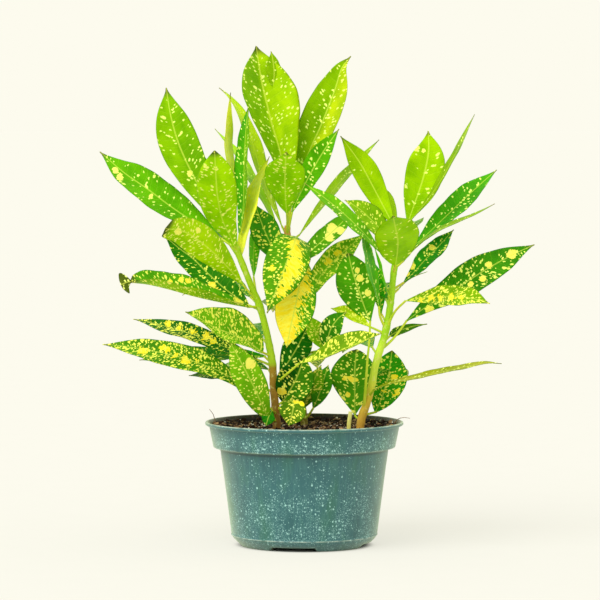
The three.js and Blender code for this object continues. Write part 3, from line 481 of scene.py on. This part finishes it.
leaf("r_crown_5", 256, 15, -74, "#7ea80d", 0.05, "88 270 -6, 100 284 -12, 113 303 -17, 123 321 -20, "
    "132 339 -20, 141 358 -18", fold=(8, 8), under="#8ab60d", tip="#6c7c3c")
leaf("r_crown_6", 244, 25, -46, "#40a007", 0.2, "88 247 8, 97 254 10, 115 271 14, 135 290 20, 159.5 312 28",
    fold=(12, 12))
leaf("r_crown_7", 230, 13, -80, "#77a10d", 0.1, "82 236 -4, 93 248 -9, 110 261 -14, 130 270 -19, "
    "145 277 -22, 158 284 -24", under="#7faf0d", tip="#8c7c5c")
leaf("r_side_8", 212, 22, -50, "#1f870d", 0.55, "82 218 8, 92 228 10, 101 238 12, 111 248 14, 124 262.5 18",
    fold=(8, 8), spots="106 247.5 2.5, 90 232 2.5, 85 226 2.5")
leaf("r_side_9", 208, 6, -80, "#8c9c50", 0.3, "78 213 12, 84 219 18, 91 223.5 24, 102 227.5 30")
leaf("r_side_10", 162, 33, -38, "#338807", 0.5, "84 186 2, 98 196 5, 115 207 9, 133 218 14, 152 230 19, "
    "172 241 24, 191 250 29", fold=(6, 6), stalk="74 172 0", spots="153 233 3.2, 172 242 4, 148 222 3, "
    "138 217 2.5, 104 196 4, 120 205 2.5")
leaf("r_side_11", 180, 29, -58, "#6fa200", 0.95, "83 203 -14, 100 206 -22, 120 207 -30, 138 205.5 -37, "
    "154 201 -43", tip="#5a6420", stalk="75 194 -8", spots="97 203.5 2.4, 105 206 2.6, 113 205.5 2.4, "
    "122 206.5 2.6, 130 206 2")
leaf("r_side_12", 168, 8, -30, "#3d780d", 0.35, "71 174 10, 78 178 16, 90 182 22, 102 184 27", peak=0.3)
leaf("r_side_13", 124, 16, -78, "#959f0d", 0.3, "57 129.5 -13, 75 135.5 -20, 90 139 -26, 110 143 -32, "
    "130 147.5 -37, 150 151.5 -41, 164 151 -43", blunt=0.5, under="#98b10d")
leaf("r_side_14", 108, 33, -10, "#2c9c0c", 0.8, "59 110 16, 65 124 20, 70 141 24, 73 162 28", fold=(8, 8),
    blunt=0.7, point=0.85, spots="68 109 3, 78 127 2.6, 75 140 2.4, 66 128 2")
leaf("r_low_15", 103, 40, -12, "#40900c", 0.6, "42 107 4, 42 118 6, 42 132 9, 42 146 12, 43.5 163 16",
    fold=(8, 8), peak=0.6, point=0.7, spots="34 139 2.2, 39 138.5 2.4, 43 137.5 2, 36 125 2.2")
leaf("r_mid_16", 112, 34, -8, "#46980a", 0.48, "55 186 0, 50 198 3, 45 213 5, 40 228 7, 36.5 243 9",
    fold=(10, 10), blunt=0.75, point=0.8, stalk="50.5 125 -9, 51.5 140 -10, 52.5 155 -9, 54 170 -7",
    spots="46 222 3, 53 210 3, 44 229 2")
leaf("r_mid_17", 180, 24, 68, "#55b50a", 0.2, "62 198 -8, 60 209 -9, 56 224 -11, 52 241 -13, 47.5 261.5 -14",
    under="#9fde0c", tip="#3c4c20", stalk="63 190 -6")
leaf("r_mid_18", 184, 14, -20, "#34b00c", 0.7, "64 192 8, 63 205 14, 60 221 18, 57 237 22")
leaf("r_mid_19", 202, 10, -75, "#63d00d", 0.1, "70 207 -8, 66 222 -11, 62 238 -14, 58 248 -16",
    under="#c4e030")
leaf("r_mid_20", 176, 13, 30, "#b1d30d", 0.95, "56 181 -3, 46 187 1, 36 193 4, 22 197 5", fold=(25, 25))
leaf("r_back_21", 240, 32, -10, "#6ab010", 0.3, "79 250 10, 82 261 34, 84 267 62, 85 265 92, 84 257 118",
    above=True)
leaf("r_back_22", 196, 34, 12, "#2a9207", 0.6, "69 202 6, 63 212 28, 56 219 52, 49 219 78, 43 212 102",
    above=True)
leaf("r_back_23", 158, 32, -8, "#2eaf0a", 0.8, "57 164 4, 50 169 30, 43 171 58, 37 168 86, 32 160 112",
    above=True)
leaf("r_back_24", 136, 26, 15, "#09800d", 0.7, "59 141 6, 66 147 28, 72 148 54, 77 143 80, 80 134 102",
    above=True)
leaf("r_back_25", 256, 22, -10, "#8cc410", 0.15, "85 268 12, 91 290 28, 96 310 44, 100 328 58")
leaf("r_back_26", 252, 18, 20, "#a7cf0d", 0.1, "77 264 16, 70 277 28, 63 291 40, 57 303 50")

# ---- materials ----
class Wire:
    """The value of a node's socket. Sums with it add Math nodes to its material."""

    def __init__(self, shade, socket):
        self.shade, self.socket = shade, socket

    def __abs__(self):
        return self.shade.math("ABSOLUTE", self)


for sign, kind in (("add", "ADD"), ("sub", "SUBTRACT"), ("mul", "MULTIPLY"), ("truediv", "DIVIDE")):
    setattr(Wire, f"__{sign}__", lambda a, b, kind=kind: a.shade.math(kind, a, b))
    setattr(Wire, f"__r{sign}__", lambda b, a, kind=kind: b.shade.math(kind, a, b))


class Shade:
    """A material's nodes, made one call at a time. Values are numbers, colours or Wires."""

    def __init__(self, name):
        self.material = bpy.data.materials.new(name)
        self.material.use_nodes = True
        self.tree = self.material.node_tree
        self.shader = self.tree.nodes["Principled BSDF"]

    def put(self, socket, value):
        if isinstance(value, str):
            value = colour(value)
        if isinstance(value, Wire):
            self.tree.links.new(value.socket, socket)
        elif isinstance(value, (tuple, np.ndarray)):
            socket.default_value = (*[float(x) for x in value], 1)
        else:
            socket.default_value = value

    def node(self, kind, inputs, output=0, **settings):
        node = self.tree.nodes.new(kind)
        for key, value in settings.items():
            setattr(node, key, value)
        for key, value in inputs:
            self.put(node.inputs[key], value)
        return Wire(self, node.outputs[output])

    def set(self, **inputs):
        for key, value in inputs.items():
            self.put(self.shader.inputs[key.replace("_", " ")], value)

    def math(self, operation, *values):
        return self.node("ShaderNodeMath", enumerate(values), operation=operation)

    def most(self, first, *others):
        for other in others:
            first = self.math("MAXIMUM", first, other)
        return first

    def below(self, a, b):
        """1 where a is less than b, and else 0."""
        return self.math("LESS_THAN", a, b)

    def vector(self, *values):
        return self.node("ShaderNodeCombineXYZ", enumerate(values))

    def parts(self, wire):
        node = self.tree.nodes.new("ShaderNodeSeparateXYZ")
        self.put(node.inputs[0], wire)
        return [Wire(self, socket) for socket in node.outputs]

    def attribute(self, name, output):
        return self.node("ShaderNodeAttribute", (), output, attribute_name=name)

    def place(self):
        """The place on the piece, in metres in the row's frame."""
        return self.node("ShaderNodeTexCoord", (), "Object")

    def from_axis(self):
        """The same place as metres across and behind the pot's axis, its distance from it and its height."""
        x, y, z = self.parts(self.place())
        x, y = x + SPREAD_MIDDLE[0] / 1000, y + SPREAD_MIDDLE[1] / 1000
        return x, y, self.math("SQRT", x * x + y * y), z

    def noise(self, where, scale=1.0, detail=3.0, rough=0.5):
        inputs = (("Vector", where), ("Scale", scale), ("Detail", detail), ("Roughness", rough))
        return self.node("ShaderNodeTexNoise", inputs)

    def stirred(self, where, scale):
        """where, pushed about a little so that round spots become uneven."""
        push = self.node("ShaderNodeTexNoise", (("Vector", where), ("Scale", scale)), "Color")
        push = self.node("ShaderNodeVectorMath", ((0, push), ("Scale", STIR)), operation="SCALE")
        return self.node("ShaderNodeVectorMath", ((0, where), (1, push)), operation="ADD")

    def cells(self, where, scale=1.0):
        """Distance to the nearest of scattered points, and two numbers of that point's own."""
        distance = self.node("ShaderNodeTexVoronoi", (("Vector", where), ("Scale", scale)), "Distance",
                             voronoi_dimensions="2D")
        first, second, _ = self.parts(Wire(self, distance.socket.node.outputs["Color"]))
        return distance, first, second

    def step(self, value, low, high):
        """A smooth step from 0 at low to 1 at high."""
        inputs = (("Value", value), ("From Min", low), ("From Max", high))
        return self.node("ShaderNodeMapRange", inputs, interpolation_type="SMOOTHSTEP")

    def between(self, value, rise, fall):
        """1 between two smooth steps, up over rise and down over fall."""
        return self.step(value, *rise) * (1 - self.step(value, *fall))

    def mix(self, share, a, b, kind="MIX"):
        inputs = ((0, share), (6, a), (7, b))
        return self.node("ShaderNodeMix", inputs, 2, data_type="RGBA", blend_type=kind)

    def times(self, a, b):
        return self.mix(1.0, a, b, "MULTIPLY")

    def ramp(self, value, *stops):
        wire = self.node("ShaderNodeValToRGB", ((0, value),))
        elements = wire.socket.node.color_ramp.elements
        while len(elements) < len(stops):
            elements.new(0.5)
        for element, (place, tint) in zip(elements, stops):
            element.position = place
            element.color = (*[float(c) for c in colour(tint)], 1)
        return wire

    def bump(self, height, strength, distance):
        inputs = (("Height", height), ("Strength", strength), ("Distance", distance))
        self.set(Normal=self.node("ShaderNodeBump", inputs))


# gold dust in four sizes: spacing in mm, a shift, the share of dots on a dusty leaf and what full dust adds,
# and the least and greatest radius as shares of the spacing
DOTS = (
    (2.2, 71.0, -0.25, 0.8, 0.18, 0.36), (3.0, 11.0, 0.2, 0.4, 0.16, 0.36),
    (4.6, 37.0, 0.06, 0.24, 0.14, 0.3), (8.0, 53.0, 0.0, 0.14, 0.14, 0.26),
)
DOT_LENGTH = 1.45  # of a dot along the side veins, to its width
FINE_DOT = 4  # mm of spacing, below which dots are pushed about more
VEIN_STEP, VEIN_SLOPE, VEIN_BEND = 6.0, 0.4, 8.0  # mm between side veins, their slope, and how they bend
RIB_FOOT, RIB_SHARE = 0.3, 0.018  # the pale midrib: half its width in mm, and what the blade's adds


def leaf_material():
    m = Shade("leaf")
    x, y, half = m.parts(m.attribute("leaf_place", "Vector"))
    dust, spot, back = m.parts(m.attribute("leaf_look", "Vector"))
    green = m.attribute("leaf_green", "Color")
    seed = m.attribute("leaf_seed", "Fac")
    off_rib = abs(x)
    cloud = m.noise(m.vector(x * 0.08, y * 0.05, seed))
    fine = m.noise(m.vector(x * 0.7, y * 0.7, seed))
    # the side veins run out and forward from the midrib, and way counts across them
    way = y - off_rib * VEIN_SLOPE + cloud * VEIN_BEND
    vein = 1 - m.step(abs(m.math("FRACT", way / VEIN_STEP) - 0.5), 0.02, 0.1)
    body = m.mix(m.step(cloud, 0.3, 0.7), m.times(green, (0.74, 0.82, 0.8)), m.times(green, (1.2, 1.1, 1.0)))
    body = m.mix(vein * 0.14, body, m.mix(0.5, green, "#c8dc40"))
    # gold dust: round and drawn-out dots, and blotches where there is much of it
    wobble = (fine - 0.5) * 0.7
    dusty = m.step(dust, 0.0, 0.15)
    dots = []
    for spacing, shift, share, more, least, greatest in DOTS:
        push = wobble if spacing < FINE_DOT else wobble * 0.5
        place = m.vector(way / spacing + push, x / (spacing * DOT_LENGTH) + (seed + shift), 0.0)
        distance, pick, spread = m.cells(place)
        radius = least + spread * (greatest - least)
        dot = 1 - m.step(distance, radius * 0.72, radius)
        dots.append(dot * m.below(pick, dusty * share + dust * more))
    bar = 0.9 - dust * 0.31
    blotch = m.step(m.noise(m.vector(way / 3.0, x / 5.0, seed), 1.0, 3.0, 0.6), bar, bar + 0.03)
    # the placed blotches, torn along the veins on the oldest leaves
    torn = m.noise(m.vector(way / 2.0, x / 6.0, seed + 7.0), 1.0, 4.0, 0.6)
    patch = m.step(spot + (torn - 0.5) * (1 + m.step(dust, 0.7, 0.8) * 1.3), 0.47, 0.53)
    young = 1 - m.step(dust, 0.35, 0.7)
    gold = m.mix(young, m.mix(m.step(fine, 0.3, 0.7), "#ecf454", "#fcf466"), "#ecf87c")
    deep = m.mix(young * 0.7, m.mix(m.step(torn, 0.35, 0.65), "#fcf250", "#fce01c"), "#f8f884")
    # painted light: the gold on the under face is made paler to make up for its shade
    gold = m.mix(back * 0.6, m.mix(patch, gold, deep), "#ffff78")
    shown = m.mix(m.most(blotch, *dots, patch) * 0.95, body, gold)
    # the pale midrib and a thin darker margin
    rib_half = RIB_FOOT + half * RIB_SHARE
    rib = 1 - m.step(off_rib, rib_half * 0.6, rib_half * 1.5)
    shown = m.mix(rib * 0.62, shown, m.mix(0.6, green, "#eef860"))
    rim = m.step(off_rib / half, 0.94, 0.99)
    shown = m.mix(rim * 0.5, shown, m.times(green, (0.5, 0.45, 0.5)))
    m.bump(vein * -0.5 + fine * 0.35 + cloud * 0.6, 0.35, 0.0006)
    m.set(Base_Color=shown, Roughness=0.36 + fine * 0.16)
    m.set(Specular_IOR_Level=0.1, Specular_Tint=(0.8, 1.0, 0.2))
    return m.material


def stem_material():
    m = Shade("stem")
    reach, turn, stalk = m.parts(m.attribute("stem_place", "Vector"))
    where = m.place()
    round_it = m.vector(m.math("SINE", turn) * 2.2, m.math("COSINE", turn) * 2.2, reach * 0.12)
    streak = m.noise(round_it, 1.6, 4.0)
    mottle = m.noise(where, 260.0, 4.0)
    bark = m.attribute("stem_tint", "Color")
    bark = m.mix(m.step(streak, 0.4, 0.7) * 0.35, bark, m.times(bark, (0.72, 0.7, 0.6)))
    bark = m.mix(m.step(mottle, 0.58, 0.66) * 0.4, bark, "#dcd880")
    green = m.ramp(m.noise(where, 90.0), (0.3, "#b0cc1c"), (0.55, "#c8d834"), (0.75, "#d4b83c"))
    m.set(Base_Color=m.mix(stalk, bark, green), Roughness=0.45 + mottle * 0.2, Specular_IOR_Level=0.25)
    m.bump(streak + mottle * 0.4, 0.4, 0.0005)
    return m.material


# heights on the pot in metres, each with the rise and the fall of a mark round it
LIP = (0.1018, 0.1026)
SEAM = ((0.0084, 0.0089), (0.0091, 0.0097))
LEDGE = ((0.0817, 0.0821), (0.0826, 0.0833))
NOOK_SHADE = ((0.0783, 0.0798), (0.0812, 0.0818))
LOW_BAND = ((0.081, 0.083), (0.088, 0.099))
LOW_BODY, FOOT_SHADE, INNER_SHADE_HEIGHT = (0.012, 0.075), (0.006, 0.0095), (0.09, 0.091)
UNDERSIDE = 0.0535  # metres from the axis
TURN_LENGTH = 0.07  # metres round the pot to one radian
WALL_FOOT, WALL_SLOPE = 0.0595, 0.194  # inside of the wall: metres from the axis at z = 0, and per metre up
STIR = 0.0009
# speckles: scale, the least radius and what chance adds, as shares of their spacing, and how pale they are
SPECKS = ((620.0, 0.08, 0.3, 0.6), (300.0, 0.06, 0.26, 0.75), (1100.0, 0.1, 0.34, 0.45))


def pot_material():
    m = Shade("pot_plastic")
    x, y, out, z = m.from_axis()
    where = m.place()
    turn = m.math("ARCTAN2", y, x) * TURN_LENGTH
    # the underside takes plain coordinates, because those round the axis would run together there
    under = m.below(out, UNDERSIDE)
    skin = m.mix(under, m.vector(turn, z, 0.0), where)
    drift = m.noise(m.mix(under, m.vector(turn * 1.6, z * 0.5, 2.0), where), 40.0)
    streak = m.noise(m.vector(turn * 9.0, z, 5.0), 60.0, 4.0) * (1 - under)
    base = m.ramp(drift, (0.3, "#20565a"), (0.5, "#285f63"), (0.7, "#2a6557"))
    base = m.mix(m.step(streak, 0.42, 0.68) * 0.35, base, "#467e78")
    # pale speckles, thickest on the lower half of the band and low on the body
    there = 0.12 + m.most(m.between(z, *LOW_BAND), (1 - m.step(z, *LOW_BODY)) * 0.7) * 0.66
    there = there * m.step(m.noise(skin, 45.0, 2.0), 0.28, 0.62) * (1 - under * 0.6)
    specks = []
    for scale, least, more, pale in SPECKS:
        distance, pick, spread = m.cells(m.stirred(skin, 900.0), scale)
        radius = least + spread * more
        specks.append((1 - m.step(distance, radius * 0.6, radius)) * pale * m.below(pick, there))
    haze = m.step(m.noise(skin, 420.0, 4.0), 0.5, 0.75) * (there * 0.6)
    shown = m.mix(m.most(*specks), m.mix(haze, base, "#7fb5ac"), "#a9dcd4")
    # the lip's top edge is a painted highlight and the seam and the ledge are paler lines; the foot and the
    # nook under the band get painted shade
    highlight_and_pale_lines = m.most(m.step(z, *LIP) * 0.7, m.between(z, *SEAM) * 0.6, m.between(z, *LEDGE) * 0.25)
    shown = m.mix(highlight_and_pale_lines * m.step(m.noise(skin, 130.0), 0.3, 0.6), shown, "#b9c8b6")
    shown = m.mix((1 - m.step(z, *FOOT_SHADE)) * 0.4, shown, "#1c4648")
    shown = m.mix(m.between(z, *NOOK_SHADE) * 0.6, shown, "#10282a")
    # painted shade in dark soil browns on the inside of the wall above the soil, whose surface is this far
    # out
    wall = WALL_FOOT + z * WALL_SLOPE + m.step(z, 0.1, 0.1008) * 0.001
    inside = m.below(out + (m.noise(where, 160.0) - 0.5) * 0.0004, wall)
    inner_wall_shade = m.ramp(m.noise(where, 500.0, 5.0), (0.35, "#160b07"), (0.55, "#33190f"), (0.7, "#6b4a32"))
    shown = m.mix(inside * m.step(z, *INNER_SHADE_HEIGHT) * 0.94, shown, inner_wall_shade)
    m.set(Base_Color=shown, Roughness=0.33 + m.noise(skin, 300.0) * 0.16)
    m.set(Specular_IOR_Level=0.5, Sheen_Weight=0.8, Sheen_Roughness=0.4, Sheen_Tint="#d0e0b4")
    m.bump(streak + m.noise(skin, 900.0) * 0.5, 0.12, 0.0004)
    return m.material


def soil_material():
    m = Shade("soil")
    grain = m.noise(m.place(), 420.0, 6.0, 0.65)
    lump = m.noise(m.place(), 130.0, 4.0)
    tones = (0.38, "#0c0604"), (0.5, "#1e0f09"), (0.6, "#38201a"), (0.72, "#66442e")
    m.set(Base_Color=m.ramp(grain * 0.6 + lump * 0.4, *tones))
    m.set(Roughness=0.8 + grain * 0.15, Specular_IOR_Level=0.2)
    m.bump(grain + lump, 0.9, 0.0025)
    return m.material


def chip_material(name, dark, middle, light, rough):
    m = Shade(name)
    grain = m.noise(m.place(), 900.0, 4.0)
    tone = m.attribute("chip_tone", "Fac") * 0.8 + (grain - 0.5) * 0.5
    m.set(Base_Color=m.ramp(tone, (0.05, dark), (0.45, middle), (0.85, light)))
    m.set(Roughness=rough + grain * 0.15, Specular_IOR_Level=0.2)
    m.bump(grain, 0.6, 0.0006)
    return m.material


# ---- the pot and the soil ----
POT_SIDES = 240
# (radius, height) from under the floor, out over the foot and up to the lip, and back down inside
POT_PROFILE = numbers(
    "0 3.6, 20 3.6, 36 3.6, 43.4 3.6, 43.8 3.3, 44 2.8, 44 0.4, 44.4 0.05, 45 0, 52 0, 52.7 0.1, 53.2 0.5, "
    "56.2 3.4, 58.6 5.8, 59.8 7.4, 60.3 8.3, 60.8 8.6, 61 9, 60.9 9.4, 60.6 9.7, 60.9 11, 64.2 37, 67.2 60, "
    "69.9 79.6, 70.3 80.5, 70.9 81.1, 74.2 81.7, 75.3 81.9, 75.7 82.3, 75.9 83, 77.5 91, 79.1 99.4, "
    "79.4 99.9, 80.6 100.1, 81.8 100.3, 82.3 100.6, 82.45 101.2, 82.4 102, 82.1 102.6, 81.4 102.9, "
    "80.6 102.9, 80 102.5, 79.4 101.5, 78.4 99, 77.1 92, 75.6 84.5, 75 83.6, 70 82.4, 69.3 81.4, 66.2 60, "
    "59.6 9.6, 58.6 8.6, 52 5.7, 51 5.6, 0 5.6"
)
# four slots for water through the foot's ring
NOTCHES, NOTCH_ANGLE, NOTCH_WIDTH, NOTCH_HEIGHT, NOTCH_SLOPE = 4, -100.4, 41.0, 3.2, 3
NOTCH_RING = (42, 57)
DRAIN_HOLES, DRAIN_CIRCLE, DRAIN_RADIUS, DRAIN_SIDES = 8, 37.0, 4.0, 40
DRILL_HEIGHTS = (-2.0, 4.0, 8.0)


def notched(x, y, height):
    """The height of a place on the pot, raised where it is in a slot."""
    radius = math.hypot(x, y)
    if height >= NOTCH_HEIGHT or not NOTCH_RING[0] < radius < NOTCH_RING[1]:
        return height
    turns = [math.atan2(y, x) - math.radians(NOTCH_ANGLE + 360 / NOTCHES * k) for k in range(NOTCHES)]
    away = min(abs(math.remainder(turn, 2 * math.pi)) for turn in turns) * radius
    share = 1 - float(smooth(away, NOTCH_WIDTH / 2 - NOTCH_SLOPE, NOTCH_WIDTH / 2))
    return height + (NOTCH_HEIGHT - height) * share


def pot_piece():
    vertices, faces = [], []
    for radius, height in POT_PROFILE[1:-1]:
        if vertices:
            faces += ring_faces(len(vertices) - POT_SIDES, len(vertices), POT_SIDES)
        vertices += [(x, y, notched(x, y, z)) for x, y, z in ring(radius, POT_SIDES, height)]
    last = len(vertices) - POT_SIDES
    bottom, floor = len(vertices), len(vertices) + 1
    vertices += [(0, 0, POT_PROFILE[0][1]), (0, 0, POT_PROFILE[-1][1])]
    for k in range(POT_SIDES):
        n = (k + 1) % POT_SIDES
        faces += [(bottom, n, k), (last + k, last + n, floor)]
    shell = make("pot_shell", vertices, faces)
    rods = []
    for x, y, _ in ring(DRAIN_CIRCLE, DRAIN_HOLES, 0, 0.5):
        points = np.array([(x, y, z) for z in DRILL_HEIGHTS])
        rods.append(tube(points, [DRAIN_RADIUS] * len(points), DRAIN_SIDES))
    drill = make("drill", *joined(rods))
    cut = shell.modifiers.new("drain", "BOOLEAN")
    cut.operation, cut.solver, cut.object = "DIFFERENCE", "EXACT", drill
    bpy.context.view_layer.update()
    shell.data = bpy.data.meshes.new_from_object(shell.evaluated_get(bpy.context.evaluated_depsgraph_get()))
    shell.modifiers.clear()
    bpy.data.objects.remove(drill)
    return shell


SOIL_EDGE, SOIL_CROWN = 96.5, 2.0
SOIL_BANK = 4.2  # how far the soil is banked up against the wall
SOIL_RADIUS, SOIL_RINGS, SOIL_SIDES = 77.9, 46, 150
SOIL_BASE, SOIL_BASE_RADIUS = 88, 74.6


def soil_height(x, y):
    radius = math.hypot(x, y)
    rise = SOIL_CROWN * min(1, 3 * (1 - radius / 76.5)) + SOIL_BANK * float(smooth(radius, 60, 77))
    swell = math.sin(0.16 * x + 1) * math.cos(0.13 * y) + math.sin(0.07 * x - 0.11 * y)
    return SOIL_EDGE - 0.6 + rise + 0.25 * swell


def soil_piece():
    """The rough top of the soil, closed by a plain base out of sight."""
    rng = np.random.default_rng(5)
    vertices = [(0, 0, soil_height(0, 0))]
    for i in range(1, SOIL_RINGS + 1):
        for x, y, _ in ring(SOIL_RADIUS * i / SOIL_RINGS, SOIL_SIDES, 0, 0.5 * (i % 2)):
            rough = 0 if i == SOIL_RINGS else rng.uniform(-0.55, 0.35)
            vertices.append((x, y, soil_height(x, y) + rough))
    faces = [(0, 1 + k, 1 + (k + 1) % SOIL_SIDES) for k in range(SOIL_SIDES)]
    for i in range(SOIL_RINGS):
        a = 1 + i * SOIL_SIDES
        faces += [face[::-1] for face in ring_faces(a, a + SOIL_SIDES, SOIL_SIDES)]
    vertices += ring(SOIL_BASE_RADIUS, SOIL_SIDES, SOIL_BASE)
    vertices.append((0, 0, SOIL_BASE))
    base = len(vertices) - 1 - SOIL_SIDES
    faces += [(base + k, base + SOIL_SIDES, base + (k + 1) % SOIL_SIDES) for k in range(SOIL_SIDES)]
    return make("soil_top", vertices, faces)


BED_RADIUS = 76.4
LIP_RADIUS, LIP_TOP = 80.9, 102.85
LIP_BIT = 0.3  # bits on the lip are this much smaller
BIT_CORNERS = [(x, y, z) for z in (-1, 1) for x, y in ((-1, -1), (1, -1), (1, 1), (-1, 1))]
BIT_SIDES = [(0, 3, 2, 1), (4, 5, 6, 7), (0, 1, 5, 4), (1, 2, 6, 5), (2, 3, 7, 6), (3, 0, 4, 7)]


def spin(axis, angle):
    """The matrix that turns by angle about an axis, 0 for x, 1 for y and 2 for z."""
    c, s = math.cos(angle), math.sin(angle)
    a, b = (axis + 1) % 3, (axis + 2) % 3
    m = np.eye(3)
    m[a, a], m[a, b], m[b, a], m[b, b] = c, -s, s, c
    return m


def scatter(name, count, sizes, flatness, seed, clear, rim=0):
    """Broken bits lying on the soil, and as many as rim on the pot's lip at the front."""
    rng = random.Random(seed)
    bits, tone = [], []
    while len(bits) < count + rim:
        on_lip = len(bits) >= count
        if on_lip:
            angle = math.radians(rng.uniform(-120, -60))
            x, y, z = LIP_RADIUS * math.cos(angle), LIP_RADIUS * math.sin(angle), LIP_TOP
        else:
            angle, radius = rng.uniform(0, 2 * math.pi), BED_RADIUS * math.sqrt(rng.random())
            x, y = radius * math.cos(angle), radius * math.sin(angle)
            if any(math.hypot(x - cx, y - cy) < gap for cx, cy, gap in clear):
                continue
            z = soil_height(x, y)
        long = rng.uniform(*sizes)
        span = np.array([long, long * rng.uniform(0.45, 0.8), long * flatness * rng.uniform(0.6, 1.2)])
        span = span * LIP_BIT if on_lip else span
        turn = spin(2, rng.uniform(0, 6.3)) @ spin(0, rng.uniform(-0.5, 0.5))
        turn = turn @ spin(1, rng.uniform(-0.5, 0.5))
        at = (x, y, z + span[2] * 0.25)
        bit = [[a * b / 2 * rng.uniform(0.55, 1.0) for a, b in zip(corner, span)] for corner in BIT_CORNERS]
        bits.append(([turn @ p + at for p in bit], BIT_SIDES))
        tone += [rng.uniform(0, 1)] * len(BIT_CORNERS)
    vertices, faces = joined(bits)
    return make(name, vertices, faces, crisp=True, chip_tone=tone)


# ---- the scene ----
def dress(piece, material, slot, *nodes):
    piece.data.materials.append(material)
    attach(piece, "root")
    if nodes:
        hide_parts(*nodes)


SOIL_LINE, STEM_CLEARANCE = 98, 6


def foot_of(stem):
    """Where the stem leaves the soil, and how far bits keep from it."""
    points, _ = seen_curve(stem.route, 60)
    x, y, _ = points[np.argmin(np.abs(points[:, 2] - SOIL_LINE))]
    return x, y, STEM_CLEARANCE


STUB = Stem("cut_stub", radius=(1.9, 1.7), tones=[(98, "#e0d468"), (111, "#ecec8c")],
            route="37 70 -20, 37 98 -20, 38.5 111 -20")
STEMS = (LEFT, MIDDLE, RIGHT, STUB)
leaf_skin, stem_skin = leaf_material(), stem_material()
for stem in STEMS:
    dress(stem_piece(stem), stem_skin, "foliage" if stem.leaves else "cut_stem", stem.node)
    for leaf in stem.leaves:
        dress(blade(leaf), leaf_skin, "foliage")
dress(pot_piece(), pot_material(), "pot_plastic", "pot")
dress(soil_piece(), soil_material(), "potting_soil", "soil")
feet = [foot_of(stem) for stem in STEMS]
bark = chip_material("bark", "#120906", "#3c2216", "#c09c70", 0.8)
perlite = chip_material("perlite", "#a89c88", "#d8cfbc", "#f4efe4", 0.85)
dress(scatter("bark_chips", 800, (1.6, 5.2), 0.4, 11, feet, rim=16), bark, "potting_soil")
dress(scatter("bark_crumbs", 1500, (0.5, 1.5), 0.7, 12, feet), bark, "potting_soil")
dress(scatter("perlite_bits", 190, (0.8, 2.3), 0.8, 13, feet, rim=6), perlite, "potting_soil")

HAIR_FOOT, HAIR_TIP = 0.38, 0.2
for name, route in (("dry_hair_left", "-73 98 0, -74.5 104 -1, -76 109 -3, -79 113 -4"),
                    ("dry_hair_right", "74 98 0, 77 104 -1, 82 106 -3, 88 105.5 -4")):
    points, _ = seen_curve(numbers(route), 16)
    rod, sides, _, _ = tube(points, np.linspace(HAIR_FOOT, HAIR_TIP, len(points)), 8)
    dress(make(name, rod, sides, chip_tone=[0.8] * len(rod)), bark, "potting_soil")

# ---- floor, light and camera ----
PAPER = colour("#fdfbee")
SUN, SUN_HEIGHT, SUN_SPREAD = 0.5, math.radians(48), math.radians(50)
SUN_ACROSS, SUN_BEHIND = -0.62, -0.78  # the way to the sun on the level, from the left and the front
PAPER_GLOW = 0.68  # the share of the floor's light that is its own, as on a lit table; none under the pot
FLOOR_HALF = 60  # metres
CAMERA_SIDE, AIM_HEIGHT = -0.0036, 0.204  # metres

floor_mesh = bpy.data.meshes.new("floor")
corners = [(-1, -1), (1, -1), (1, 1), (-1, 1)]
floor_mesh.from_pydata([(x * FLOOR_HALF, y * FLOOR_HALF, 0) for x, y in corners], [], [(0, 1, 2, 3)])
paper = Shade("paper")
open_air = paper.step(paper.from_axis()[2], 0.05, 0.06)
unlit = PAPER / (PAPER + SUN)
lit = (1 - PAPER_GLOW) * unlit
tone = paper.mix(paper.step(paper.noise(paper.place(), 30.0, 2.0), 0.2, 0.8), lit * 0.99, lit * 1.01)
paper.set(Base_Color=paper.mix(open_air, unlit, tone), Roughness=0.9, Specular_IOR_Level=0.0)
paper.set(Emission_Color=PAPER, Emission_Strength=open_air * PAPER_GLOW)
floor_mesh.materials.append(paper.material)
put_in_scene("floor", floor_mesh)

world = bpy.data.worlds.new("room")
bpy.context.scene.world = world
world.use_nodes = True
world.node_tree.nodes["Background"].inputs[0].default_value = (*[float(c) for c in PAPER], 1)
sun = bpy.data.lights.new("window", "SUN")
sun.energy = SUN * math.pi / math.sin(SUN_HEIGHT)
sun.angle = SUN_SPREAD
level = math.cos(SUN_HEIGHT)
sun_from = Vector((SUN_ACROSS * level, SUN_BEHIND * level, math.sin(SUN_HEIGHT)))
put_in_scene("window", sun).rotation_euler = sun_from.to_track_quat("Z", "Y").to_euler()

lens = bpy.data.cameras.new("camera")
lens.lens, lens.sensor_width = 217, 36
lens.clip_end = 200
camera = put_in_scene("camera", lens)
axis = -Vector(SPREAD_MIDDLE) / 1000
camera.location = axis + Vector((CAMERA_SIDE, -VIEW_DISTANCE / 1000, VIEW_HEIGHT / 1000))
aim = axis + Vector((CAMERA_SIDE, 0, AIM_HEIGHT)) - camera.location
camera.rotation_euler = aim.to_track_quat("-Z", "Y").to_euler()
bpy.context.scene.camera = camera
bpy.context.scene.view_settings.view_transform = "Standard"
